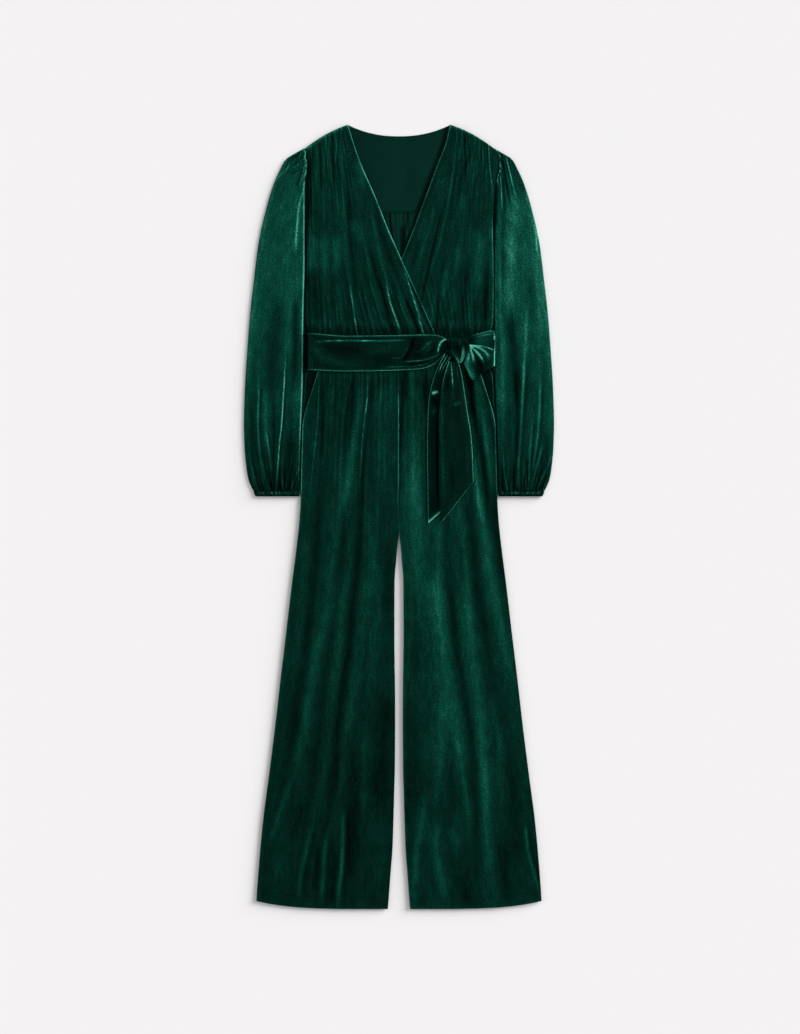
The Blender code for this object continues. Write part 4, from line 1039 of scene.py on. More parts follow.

# %% [markdown]
# ## Sleeves
# A full sleeve is a tube that lies flat: its face, the fold at the outer edge, its underside, and the
# seam at the underarm. One ring of points goes round all of that, and the rings follow each other
# from the gathered head to the gathered wrist. A front and a back sheet would do from above, but the
# fold at the outer edge is one round turn of cloth, and only a ring gives that.

# %% Folds of the sleeves
# Each fold: width, height, how pale its painted highlight, how dark the painted shadow on its right, then
# its points.
SLEEVE_LEFT_CREASES = [
    (1.8, 1.2, .35, .3, (-173, 46), (-171, 57), (-169, 70)),
    (2.2, -1, -.4, 0, (-178, 56), (-186, 68)),
    (2.2, -.9, -.35, 0, (-186, 54), (-195, 65)),
    (2, .9, .3, 0, (-182, 54), (-191, 67)),
    (2.2, 1, .4, 0, (-231, 107), (-220, 94), (-207, 81), (-196, 68), (-189, 59)),
    (2.2, .8, .35, .3, (-198, 81), (-191, 76), (-181, 70)),
    (2, .7, .3, .3, (-200, 98), (-191, 92), (-181, 85)),
    (2.2, 1, .4, .35, (-186, 120), (-180, 98), (-172, 74)),
    (2.4, 1.2, .6, 0, (-173, 102), (-178, 124), (-185, 150), (-189, 187), (-191, 222), (-192, 253)),
    (3, -1, -.45, 0, (-167, 94), (-166, 115), (-167, 174), (-170, 213)),
    (11, -.9, -.3, 0, (-226, 305), (-229, 379), (-234, 444), (-235, 531)),
    (4.5, -.9, -.38, 0, (-191, 305), (-192, 379), (-193, 435), (-196, 505)),
    (5, .7, .12, 0, (-205, 316), (-207, 379), (-209, 431)),
    (1.9, 1.9, 1, .5, (-208, 405), (-210, 438), (-213, 490), (-217, 555), (-221, 590), (-224, 633),
     (-228, 684), (-228, 716)),
    (2.5, 1.3, .5, .3, (-259, 446), (-260, 509), (-261, 555), (-258, 601), (-252, 642), (-246, 684)),
    (5, .8, .28, 0, (-249, 472), (-248, 546), (-244, 612)),
    (2.4, 1.1, .5, .3, (-247, 555), (-241, 601), (-237, 635), (-234, 668)),
    (3, -.8, -.32, 0, (-232, 490), (-232, 555), (-232, 610), (-231, 653)),
    (8, -.6, -.32, 0, (-200, 555), (-202, 610), (-205, 660), (-207, 722)),
    (5, .5, .14, 0, (-191, 472), (-191, 527), (-191, 570)),
    (10, .6, .1, 0, (-276, 305), (-279, 407), (-280, 509)),
    (6, -.5, -.22, 0, (-273, 494), (-273, 555), (-268, 635)),
    (2, .9, .28, .2, (-278, 601), (-274, 627), (-267, 655), (-260, 679), (-253, 703)),
    (1.4, 1.1, .6, .4, (-253, 607), (-250, 635), (-247, 655), (-240, 673), (-233, 697)),
    (1.3, .8, .45, .3, (-218, 631), (-216, 657), (-212, 679), (-208, 705)),
    (1.5, 1, .5, .4, (-195, 598), (-200, 627), (-204, 651), (-209, 675), (-214, 703)),
    (1.6, 1, .45, .4, (-178, 616), (-186, 638), (-193, 657), (-201, 679), (-208, 705)),
    (2.2, -1, -.6, 0, (-236, 627), (-234, 657), (-232, 683), (-230, 712)),
    (1.8, -1, -.7, 0, (-220, 627), (-221, 657), (-221, 683), (-221, 712)),
    (2.4, -1, -.6, 0, (-176, 631), (-183, 657), (-189, 679), (-194, 707)),
    (1.8, -.8, -.5, 0, (-267, 627), (-261, 657), (-253, 681), (-246, 709)),
    (1.5, -.8, -.5, 0, (-245, 631), (-241, 657), (-236, 679), (-231, 705)),
]
SLEEVE_RIGHT_CREASES = [
    (1.5, 1.2, .6, .4, (188, 46), (185, 65), (183, 83), (183, 109)),
    (2.2, -1.2, -.9, 0, (188, 43), (192, 74), (199, 115), (207, 163)),
    (1.5, 1.2, .5, 0, (193, 46), (202, 80), (213, 123), (222, 150)),
    (1.6, 1.2, .45, .5, (186, 80), (189, 120), (191, 172)),
    (1.8, -1, -.6, 0, (192, 87), (194, 130), (196, 176)),
    (1.4, .8, .4, .3, (197, 54), (205, 87), (211, 117)),
    (2, -1.2, -.6, 0, (182, 98), (181, 139), (179, 204)),
    (13, -.5, -.2, 0, (205, 54), (220, 94), (235, 139)),
    (8, .8, .16, 0, (207, 113), (210, 166), (209, 213), (205, 268)),
    (8, .8, .15, 0, (204, 194), (204, 268), (204, 324), (205, 387)),
    (3, -.8, -.3, 0, (191, 131), (191, 204), (191, 259), (191, 324)),
    (2.6, .7, .14, 0, (186, 191), (186, 278), (186, 361), (188, 431)),
    (4.5, .9, .26, 0, (190, 352), (191, 444), (191, 500), (191, 592)),
    (2.6, 1, .28, 0, (253, 179), (254, 216), (255, 253)),
    (5, .6, .1, 0, (253, 205), (255, 296), (259, 370), (261, 444)),
    (6, -.7, -.14, 0, (240, 250), (242, 324), (244, 398)),
    (7.5, -1.2, -.42, 0, (205, 331), (208, 398), (214, 444), (216, 490), (217, 542)),
    (4.2, -1.2, -.45, 0, (215, 435), (218, 509), (218, 564), (217, 610), (215, 666)),
    (3.6, 1.2, .3, 0, (237, 327), (234, 379), (232, 426), (230, 468), (228, 518)),
    (3, 1.5, .42, .3, (231, 407), (230, 468), (226, 533), (223, 590), (220, 631), (220, 664), (225, 703)),
    (3, 1.3, .44, .3, (261, 453), (260, 505), (258, 546), (253, 598), (245, 641), (240, 675)),
    (2.4, 1, .42, .3, (248, 527), (245, 568), (242, 605), (240, 642), (239, 675), (239, 709)),
    (2.8, 1.1, .6, .2, (268, 579), (260, 612), (253, 633), (249, 653), (244, 675), (240, 703)),
    (4, -.6, -.1, 0, (203, 509), (202, 574), (198, 635)),
    (8, -.5, -.14, 0, (237, 407), (236, 490), (233, 555)),
    (6, -.7, -.2, 0, (272, 564), (270, 620), (261, 666)),
    (1.7, .9, .42, .2, (193, 598), (194, 627), (195, 649), (200, 672), (205, 699)),
    (1.5, .8, .3, .2, (229, 612), (231, 638), (235, 662), (238, 686), (240, 709)),
    (2, 1, .45, .3, (285, 605), (274, 633), (264, 653), (255, 673), (248, 699)),
    (2.2, -1, -.5, 0, (190, 620), (190, 648), (191, 672), (194, 701)),
    (2.8, -1.2, -.5, 0, (212, 620), (212, 649), (214, 672), (216, 701)),
    (1.8, -1, -.5, 0, (236, 612), (237, 640), (238, 660), (240, 686)),
    (1.8, -1, -.5, 0, (248, 627), (247, 657), (245, 679), (243, 705)),
    (2.4, -1, -.5, 0, (266, 627), (260, 653), (254, 673), (249, 701)),
    (3, -.9, -.45, 0, (278, 638), (267, 664), (260, 684), (253, 709)),
]
SLEEVE_TRAIN = [
    (.05, 1.4, .3, .8, 2.0), (.15, 2.4, 1.0, 1.2, 2.6), (.25, 2.0, .4, .6, 2.2),
     (.35, 2.2, 1.3, 1.8, 2.8),
    (.45, 1.4, .3, .7, 2.3), (.55, 1.8, .8, 1.6, 2.8), (.65, 1.0, .3, .8, 2.4), (.75, 1.2, .9, 1.7, 2.7),
    (.85, .7, .3, .8, 2.2), (.95, .4, .5, 1.0, 1.8),
]
for side, creases in ((-1, SLEEVE_LEFT_CREASES), (1, SLEEVE_RIGHT_CREASES)):
    s, t = armholes[side](np.array([54.0, 98.0]))
    for ends, count, width, rise, pale, dark, seed, reach in (
        (((192, 678), (267, 678), (176, 612), (292, 612)), 14, 1.4, 1.2, .3, .45, 40, (.25, .7)),
        (((178, 48), (206, 60), (184, 100), (226, 108)), 8, 1.6, .8, .2, .25, 50, (.35, .9)),
        (((s, 52), (t, 98), (s + 13, 66), (t + 7, 122)), 10, 1.2, 0.9, .7, .7, 60, (.4, 1.0)),
    ):  # at the wrist, the head and the armhole seam
        a, b, c, d = ((side * x, drop) for x, drop in ends)
        creases += gathers((a, b), (c, d), count, width, rise, pale, dark, seed + side, reach)
print("the sleeves have", len(SLEEVE_LEFT_CREASES), "and", len(SLEEVE_RIGHT_CREASES), "creases")

# %% Tube that lies flat
def flat_tube(side, x_in, x_front, drop_in, x_out, drop_out, wall, slack, columns, crown, closed, head):
    """Face, wrong side, and nap with painted shading, of a flat tube. Each row is one ring, from the seam
    over the top and back beneath. Its inner edge is at x_in, or x_front on top, and its outer edge at
    x_out. closed is 1 where the inner edge is shut, and head 0 where the ring is pressed flat into a
    seam."""
    middle = wall + slack / 2
    quarter, fold = np.radians(np.linspace(0, 80, 6)), np.radians(np.linspace(80, -80, 9))
    over, back = np.linspace(0, 1, columns), np.linspace(1, 0, columns // 3)
    stops = np.cumsum([0, len(quarter), len(over), len(fold), len(back), len(quarter)])
    up, top, turn, under, down = (slice(a, b) for a, b in zip(stops, stops[1:]))
    x, z, in_x, in_z, nap = np.zeros((5, len(x_in), stops[-1]))
    for part, angle, way in ((up, quarter, 1), (down, quarter[::-1], -1)):
        x[:, part] = (x_front if way > 0 else x_in) + middle * (1 - np.cos(angle))
        shut = middle + way * (HALF_SEAM + (middle - HALF_SEAM) * np.sin(angle))
        free = 2 * middle - 0.8 * (1 - np.sin(angle)) if way > 0 else 0 * angle
        z[:, part] = mix(free, shut, closed)
        in_x[:, part] = closed * np.cos(angle)
        in_z[:, part] = -way * mix(1, np.sin(angle), closed)
    x[:, turn] = x_out - middle * (1 - np.cos(fold))
    z[:, turn] = middle * (1 + np.sin(fold))
    in_x[:, turn], in_z[:, turn] = -np.cos(fold), -np.sin(fold)
    x[:, top] = mix(x_front + middle, x_out - middle, over)
    x[:, under] = mix(x_in + middle, x_out - middle, back)
    in_z[:, top], in_z[:, under] = -1, 1
    drop = mix(drop_in, drop_out, (x - x_in) / (x_out - x_in))
    z[:, top], nap[:, top] = crown(side * x[:, top], drop[:, top], over)
    climb = np.linspace(0, 1, len(quarter)) ** 1.5
    # Painted shade where the inner edge turns down, fading into the top.
    nap[:, up] = mix(-0.5 if side < 0 else -0.4, nap[:, top][:, :1], climb)
    nap[:, turn] = nap[:, top][:, -1:]
    lift, nap[:, under] = soft_lift(x[:, under], drop[:, under], 60 + side, 4, (190, 262, 170, 600))
    z[:, under] += 0.7 * lift * rolled(np.minimum(x[:, under] - x_in, x_out - x[:, under]) - middle, 12)
    meet = middle + HALF_SEAM * np.where(in_z < 0, 1, -1)
    face = place(side * x, drop, mix(meet, z, head))
    inward = np.stack([side * in_x * head, -(1 - head) + 0 * x, in_z * head], axis=-1)
    inward /= np.linalg.norm(inward, axis=2, keepdims=True)
    return face, face + inward * wall / 1000, nap


# %% Sleeves
HEAD_IN, HEAD_OUT = 44, 61  # where the sleeve's head starts, at the armhole and at the outer edge


def sleeve_tone(side, drop, share, nap):
    """Painted highlight and shade on the armhole seam, painted highlight on the outer fold, darker to the
    wrist.
    """
    from_seam = share * (sleeve_outer(drop) - armholes[side](np.minimum(drop, WAIST), 0))
    # Left: a painted highlight along the armhole seam. Right: one at the head, then painted shade.
    if side < 0:
        line = (0.65 + 0.1 * np.sin(drop / 19)) * (1 - 0.7 * ramp(drop, 560, 620))
        line = line + 0.25 * ramp(drop, 190, 240)
    else:
        line = 0.6 * (1 - ramp(drop, 92, 110)) - 0.2 * ramp(drop, 95, 120) * (1 - ramp(drop, 200, 230))
    rim = 0.12 * ramp(share, 0.88, 0.98) + line * fading(from_seam, 0.9) + 0.06 * (side > 0)
    paler = np.interp(drop, (60, 150, 300, 420, 560, 640, 676), (.17, .35, .34, .26, .12, -.06, -.12))
    return nap + rim + paler


def make_sleeve(side, word, creases):
    last = CUFF_SEAM - HALF_SEAM
    down = np.concatenate([[0, .2, .7, 1.6, 2.8, 4], np.arange(6, 96, 2.4), np.arange(96, 500, 4.4),
                           np.linspace(502, last - HEAD_IN, 48)])[:, None]
    drop_in, drop_out = HEAD_IN + down, mix(HEAD_OUT, last, down / (last - HEAD_IN))
    x_in = sleeve_inner(drop_in)

    def crown(x, drop, share):
        height, nap = press(x, drop, creases)
        beside = ramp(share, 0, 0.06) * (1 - ramp(share, 0.93, 1))
        height = np.maximum(height, -1.2) * beside
        swell = 0.12 + 0.4 * ramp(drop, 520, 660)
        height += swell * train(SLEEVE_TRAIN, (100, 360, 590, 655), share + 0 * drop, drop)
        puff = 1.8 * np.sin(math.pi * share) * ramp(drop, 50, 200)
        return FRONT_TOP + puff + height, sleeve_tone(side, drop, share, nap)

    face, reverse, nap = flat_tube(
        side, x_in, np.where(drop_in < 390, armholes[side](drop_in, 0), x_in), drop_in,
        sleeve_outer(drop_out), drop_out, CLOTH, SLACK, 80, crown, ramp(drop_in, *ARMHOLE_END),
        rolled(down, 4))
    return sew(f"sleeve_{word}_cloth", face, reverse, [pile, wrong_side], nap)


sleeves = {
    "left": make_sleeve(-1, "left", SLEEVE_LEFT_CREASES),
    "right": make_sleeve(1, "right", SLEEVE_RIGHT_CREASES),
}

# %% [markdown]
# ## Cuffs
# Elastic in a narrow casing draws the cloth into small puckers of uneven size. A wave across the cuff
# would look too even, so each pucker has its own place and size. The tube is the sleeve's, shorter and
# thicker.

# %% Cuffs
PUCKERS = {  # share of the way across the cuff, and size
    -1: [(.05, .6), (.13, .3), (.20, .5), (.27, .7), (.34, .6), (.44, 1.1), (.51, 1.3), (.62, 1.1),
         (.72, .5), (.83, .9), (.91, .8)],
    1: [(.05, .7), (.16, .4), (.27, 1.0), (.36, 1.3), (.42, 1.0), (.51, .5), (.58, .4), (.64, .9),
        (.70, .7), (.77, 1.0), (.84, .3), (.90, 1.2)],
}
CUFF_IN, CUFF_OUT, CUFF_DEPTH = 184.2, 269.6, 10.85


def make_cuff(side, word):
    start = CUFF_SEAM + HALF_SEAM
    down = np.array([0, .25, .7, 1.3, 2.2, 3.4, 4.8, 6.2, 7.6, 8.8, 9.7, 10.3, 10.7, CUFF_DEPTH])[:, None]
    peaks, sizes = np.array(PUCKERS[side]).T

    def crown(x, drop, share):
        ruffle = (hump(share[:, None] - peaks, 0.026) * sizes).sum(axis=1) + 0 * drop
        ends = np.minimum(rolled(drop - start + 0.2, 2.4), rolled(start + CUFF_DEPTH - drop + 0.2, 2.4))
        ridge = hump(drop - start - 4.5, 2.8)
        # Painted highlight on the crest of the ridge, most on the bigger puckers; darker elsewhere and
        # towards the wrist edge.
        nap = ridge * (0.25 + 0.75 * ruffle) - 0.35 - 0.4 * ramp(drop - start, 7.5, 10)
        return FRONT_TOP + ends * (1.0 + 1.0 * ruffle), nap

    taper = np.interp(down, [0, CUFF_DEPTH / 2, CUFF_DEPTH], [0.6, 1.6, 4.4])
    x_in, shut = CUFF_IN + 0 * down, 1.0 + 0 * down
    face, reverse, nap = flat_tube(side, x_in, x_in, start + down, CUFF_OUT - taper, start + down,
                                   CUFF_CLOTH, 1.6, 96, crown, shut, shut)
    return sew(f"cuff_{word}_cloth", face, reverse, [pile, wrong_side], nap)


cuffs = {word: make_cuff(side, word) for side, word in SIDES}

# %% [markdown]
# ## The sash lies on everything else
# Stiffer cloth spans the small folds beneath it. The pieces below are stamped on a height map, the
# map is widened and smoothed by a few millimetres, and the sash rests on that. Each new piece is
# stamped too, so tails, loop and knot stack in their real order. A Shrinkwrap modifier would press
# the sash into every fold instead.

# %% Height map of what lies below
def points_of(piece):
    points = np.empty(3 * len(piece.data.vertices))
    piece.data.vertices.foreach_get("co", points)
    return points.reshape(-1, 3)


class Bed:
    """Heights of the laid pieces on a grid of 2.5 mm cells round the waist."""

    x0, d0, cell, shape = -200.0, 360.0, 2.5, (160, 160)

    def __init__(self):
        self.top = np.zeros(self.shape)

    def add(self, piece):
        x, y, z = points_of(piece).T * 1000
        i = np.round((x - self.x0) / self.cell).astype(int)
        j = np.round((LENGTH / 2 - y - self.d0) / self.cell).astype(int)
        keep = (i >= 0) & (j >= 0) & (i < self.shape[0]) & (j < self.shape[1])
        np.maximum.at(self.top, (i[keep], j[keep]), z[keep])

    def level(self, x, drop, widen=3):
        """Height of cloth that rests there: over everything within reach, then smoothed."""
        wide = self.top.copy()
        for _ in range(widen):
            for axis in (0, 1):
                for step in (-1, 1):
                    wide = np.maximum(wide, np.roll(wide, step, axis))
        for _ in range(2):
            for axis in (0, 1):
                wide = (np.roll(wide, 1, axis) + 2 * wide + np.roll(wide, -1, axis)) / 4
        i = np.clip((x - self.x0) / self.cell, 0, self.shape[0] - 1.001)
        j = np.clip((drop - self.d0) / self.cell, 0, self.shape[1] - 1.001)
        a, b = i.astype(int), j.astype(int)
        s, t = i - a, j - b
        low = mix(wide[a, b], wide[a + 1, b], s)
        return mix(low, mix(wide[a, b + 1], wide[a + 1, b + 1], s), t)


bed = Bed()
for piece in (*trouser_fronts.values(), *pockets.values(), wrap_lap_cloth, wrap_under_cloth):
    bed.add(piece)
print("the waist is", round(float(bed.top[:, 8:36].max()), 1), "mm high under the sash")

# %% [markdown]
# ## Sash band
# The band is one strip that goes almost all the way round: from the knot to the left side, behind
# the waist, round the other side and back to the bow. A tube round the body would be easier, but a
# worn sash is a flat strip with two folded edges that narrows to enter the knot. Its cross-lines
# are put in that order, with a smooth curve between them where it is hidden.

# %% Sash band
# Each fold: width, height, how pale its painted highlight, how dark the painted shadow on its right, then
# its points.
BAND_CREASES = [
    (2, 1, 1.15, .2, (-172.1, 402.2), (-135.1, 400.3), (-90.7, 399.2), (-38.9, 400.3), (1.9, 398.9),
     (24.1, 399.2), (42.6, 400.5)),
    (10, -.9, -.3, 0, (-153.6, 408.9), (-116.6, 412.6), (-79.5, 416.2), (-46.2, 420)),
    (7, .5, .16, 0, (-172.1, 390.4), (-161, 416.2), (-136.9, 431.1), (-99.9, 444), (-44.4, 451.4)),
    (6, .4, .08, 0, (-57.4, 410.7), (-20.4, 412.6), (16.7, 410.7)),
    (8, -.5, -.14, 0, (-53.7, 438.5), (-25.9, 436.6), (1.9, 436.6)),
    (1.8, .8, .5, 0, (20.4, 399.6), (14.8, 416.2), (3.7, 431.1), (-14.8, 431.8), (-31.5, 431.1)),
    (3.2, -1.3, -.9, 0, (26.8, 390.4), (23.3, 408.9), (14.8, 425.5), (3.7, 445.9)),
    (9, -.7, -.26, 0, (37, 390.4), (33.3, 412.6), (25.9, 438.5)),
    (2.4, .8, .5, 0, (62.9, 397.8), (53.7, 405.2), (44.4, 414.4), (37, 421.8)),
    (1.6, .9, .4, .3, (46.2, 401.5), (55.5, 407), (55.5, 416.2), (44.4, 424.6)),
    (1.9, 1.3, .75, .3, (-5.6, 439.6), (16.7, 438.1), (42.6, 435.9), (64.8, 429.2), (87, 418.1)),
    (1.6, 1.3, .8, .3, (-42.6, 448.8), (1.9, 447.7), (29.6, 446.6), (53.7, 441), (75.9, 429.2)),
    (2.6, -.9, -.5, 0, (9.2, 443.3), (38.9, 441.4), (64.8, 434.8)),
    (2.2, 1.6, 1.5, .4, (94.4, 392.2), (84.2, 397.8), (76.6, 404), (72.9, 415.3), (70.3, 429.2)),
    (3, -1.1, -.5, 0, (64.8, 399.6), (64.8, 414.4), (53.7, 425.5)),
    (2.6, .9, .26, 0, (-165.6, 379.2), (-165.4, 399.6), (-164.7, 420)),
    (5, -.5, -.3, 0, (-171.1, 405.2), (-168.3, 427.4), (-162.8, 464.4)),
]
band_left = smooth_table(  # across, then the band's upper and lower edge
    (-160, 386.2, 453.5), (-93, 391, 456), (0, 390, 454), (43, 389, 451), (64, 389, 443), (80, 393, 428),
    (92, 400, 416),
)
band_right = smooth_table((124, 402, 424), (140, 396, 438), (160, 387.5, 453.4))
SASH_SIDE = 176.0  # where the band folds round to the back
BAND_WIDTH = 66
REST = 0.5  # air between the sash and what it lies on


def strip(width, count, cut):
    """Shares of the way across a strip, fine beside both folded edges."""
    return np.concatenate([BEAD / width, np.linspace(0, 1, count)[cut:-cut], 1 - BEAD[::-1] / width])


def puffed(share):
    """The soft crown across a strip: 1 in the middle, and steep at the folded edges."""
    return np.sin(math.pi * np.clip(share, 0.002, 0.998)) ** 0.6


def refine(rows, times):
    """More rows between the given ones, on a smooth curve."""
    rows = np.concatenate([2 * rows[:1] - rows[1:2], rows, 2 * rows[-1:] - rows[-2:-1]])
    t = (np.arange(times) / times)[:, None, None]
    body = spline(*(rows[k:len(rows) - 3 + k, None] for k in range(4)), t)
    return np.concatenate([body.reshape(-1, *rows.shape[1:]), rows[-2:-1]])


def band_front(x, edges, share):
    """Points of a stretch that lies on the front, and its nap with painted highlights and shade."""
    x = np.asarray(x, float)[:, None] + 0 * share
    drop = mix(edges(x, 0), edges(x, 1), share)
    height, nap = press(x, drop, BAND_CREASES)
    crown = 1.1 * puffed(share)
    from_top, from_foot = share * BAND_WIDTH, (1 - share) * BAND_WIDTH
    height = np.maximum(height * rolled(from_top, 6) * rolled(from_foot, 6), -0.3 - 0.7 * crown)
    edge = np.minimum(share, 1 - share) * BAND_WIDTH
    # Painted highlight along both folded edges, with a thin painted shade just inside them.
    nap = nap + 0.95 * fading(edge, 1.2) - 0.12 * hump(edge - 6, 3) - 0.06
    return place(x, drop, bed.level(x, drop) + REST + SASH_CLOTH + crown + height), nap


def band_turn(side, edges, share):
    """Cross-lines that lead the band down round the side and in beneath the back."""
    x_edge = side * 160.0
    low, high = float(edges(x_edge, 0)), float(edges(x_edge, 1))
    level = float(bed.level(np.array(x_edge), np.array((low + high) / 2))) + REST + SASH_CLOTH + 0.4
    section = ((7, level - .3), (3.2, level - 1), (.9, level - 3), (0, level / 2), (.9, 2.2),
               (3.4, .35), (7, 0), (12, 0), (20, 0), (32, 0))  # in from the fold, and height
    return [place(side * (SASH_SIDE + 0.5 * share - d), mix(low, high, share), z) for d, z in section]


def make_band():
    share = strip(BAND_WIDTH, 30, 2)
    left, nap_and_shading_left = band_front(np.linspace(92, -157, 90), band_left, share)
    right, nap_and_shading_right = band_front(np.linspace(157, 124, 14), band_right, share)
    behind = [place(x, mix(387, 453, share), 0.0) for x in (-125, -90, -45, 0, 45, 90, 125)]
    middle = np.array([left[-1]] + band_turn(-1, band_left, share) + behind
                      + band_turn(1, band_right, share)[::-1] + [right[0]])
    middle = refine(middle, 5)[1:-1]
    middle[..., 2] = np.maximum(middle[..., 2], 0)
    # Painted shadow where the band turns round the side beside the sleeve, and painted highlights along
    # the hidden stretch's edges.
    ends = -0.9 * ramp(np.abs(middle[..., 0]) * 1000, 166, 171)
    hidden_edge_highlight = 0.6 * hump(np.minimum(share, 1 - share) * BAND_WIDTH, 1.4)
    nap = np.vstack([nap_and_shading_left, np.tile(hidden_edge_highlight, (len(middle), 1)) + ends, nap_and_shading_right])
    face = np.concatenate([left, middle, right])
    return sew("sash_band_cloth", face, inset(face, SASH_CLOTH), [sash_pile], nap)


sash_band_cloth = make_band()
bed.add(sash_band_cloth)
bed.add(sleeves["right"])

# %% [markdown]
# ## Tails
# The sash is a flat tube, so its free ends are cut on a slant and have two folded edges. Each tail is
# led by eight cross-lines from the knot to the cut end, as a ribbon is pinned before it is pressed. A
# curve with a flat profile would give both edges the same bends, and they differ here.

# %% Tails
# Each fold: width, height, how pale its painted highlight, how dark the painted shadow on its right, then
# its points.
TAIL_UNDER_CREASES = [
    (1.2, 1, 2, .7, (89.7, 412.6), (81.4, 429.2), (73.1, 444), (65.7, 460.7)),
    (1.2, 1, 2, .7, (95.3, 416.2), (86, 432.9), (77.7, 447.7), (70.7, 464.4)),
    (1.2, 1, 1.9, .7, (99.9, 421.8), (89.7, 437.5), (81.4, 451.4), (75.1, 466.2)),
    (2.7, 1, 2.2, 0, (58.5, 497.7), (66.2, 495.4), (75.1, 492.8)),
    (2.2, .7, .9, 0, (59.9, 534.6), (63.8, 530), (68.5, 524.7)),
    (4, -.9, -.3, 0, (65.7, 503.2), (64, 521.7)),
    (2, -.9, -.8, 0, (72.2, 486.6), (70.7, 564.2), (70.7, 638.2), (72.5, 740)),
]
TAIL_OVER_CREASES = [
    (1.5, 1.4, 1.2, .5, (95.5, 431.1), (97.1, 453.2), (100.3, 494)),
    (1.5, 1.1, .5, .4, (104.7, 434.8), (107.3, 453.2), (111.7, 486.6)),
    (4, -.9, -.36, 0, (89.7, 457), (87, 497.7)),
    (4, .4, .16, 0, (99.9, 468.1), (100.6, 494), (103.6, 516.1)),
    (3.4, .4, .5, 0, (98.1, 518.9), (107.3, 516.1), (116.6, 513.4)),
    (3.2, .4, .38, 0, (79.2, 471.8), (79.2, 564.2), (81.4, 638.2), (82.3, 730.8)),
    (4, -.5, -.18, 0, (96.2, 623.5), (97.1, 653.1), (98.1, 679)),
    (3, .4, .12, 0, (124, 582.8), (127.7, 623.5), (127.7, 656.8)),
    (2, .4, .3, 0, (85.1, 717.8), (90.7, 710.4), (98.1, 699.3)),
]
tail_under_edges = smooth_table(
    (0, 84, 424, 108, 436), (1, 74, 444, 108, 452), (2, 63, 472, 107, 474), (3, 55, 511, 108, 512),
    (4, 52.5, 560, 114, 560), (5, 52, 610, 118, 606), (6, 53, 670, 119, 648), (7, 54, 737, 120, 677),
)
tail_over_edges = smooth_table(
    (0, 92, 438, 110, 440), (1, 84, 462, 116, 462), (2, 78, 494, 121, 494), (3, 74, 532, 127, 534),
    (4, 73, 575, 133, 572), (5, 73.5, 640, 136, 612), (6, 75, 702, 137, 644), (7, 80, 733, 138, 659),
)
TAIL_WIDTH = 60
TAIL_STEP = 45  # from one cross-line to the next


def make_tail(edges, name, creases, base_tone, left_line, end_line):
    at = np.concatenate([np.linspace(0, 6.9, 104), 7 - BEAD[-2::-1] / TAIL_STEP])[:, None]
    from_end = (7 - at) * TAIL_STEP
    share = strip(TAIL_WIDTH, 22, 2)[None]
    x = mix(edges(at, 0), edges(at, 2), share)
    drop = mix(edges(at, 1), edges(at, 3), share)
    width = np.hypot(edges(at, 2) - edges(at, 0), edges(at, 3) - edges(at, 1))
    at_knot = 1 - ramp(at, 0, 2.5)
    gather = 1.6 * at_knot * np.maximum(np.cos(4 * math.pi * share), 0) ** 1.5
    height, nap = press(x, drop, creases)
    from_fold = np.minimum(share, 1 - share) * width
    from_edge = np.minimum(from_fold, from_end)
    crown = 0.55 * puffed(share)
    height = np.maximum(height * rolled(from_fold, 6), -0.3 - crown)
    z = bed.level(x, drop) + REST + SASH_CLOTH + crown + gather + height
    under = z - SASH_CLOTH + bead(from_edge, 0.9, 2.4)
    # Painted highlights along the folded edges, on the gathers by the knot and along the cut end.
    line = np.where(share < 0.5, mix(1.1, left_line, ramp(at, 1.2, 2.6)), 1.15)
    nap = nap + 0.3 * gather * at_knot + line * fading(from_fold, 1.3)
    nap = nap + end_line[0] * np.exp(-((from_end / end_line[1]) ** 1.4)) - base_tone
    return sew(name, place(x, drop, z - bead(from_edge, 1.2, 2.4)), place(x, drop, under),
               [sash_pile], nap)


tail_under_cloth = make_tail(tail_under_edges, "sash_tail_under_cloth", TAIL_UNDER_CREASES, 0.26, 1.35,
                             (1.6, 3.2))
bed.add(tail_under_cloth)
tail_over_cloth = make_tail(tail_over_edges, "sash_tail_over_cloth", TAIL_OVER_CREASES, 0.12, 0.3,
                            (1.1, 1.3))
bed.add(tail_over_cloth)

# %% [markdown]
# ## Bow loop
# The bow has one loop: it leaves the knot beneath, folds at its far end and comes back on top with
# its pleats drawn together. Ten cross-lines with a height lead it along that way. The pleats fan out
# from the knot, so they are pressed into the upper layer only.

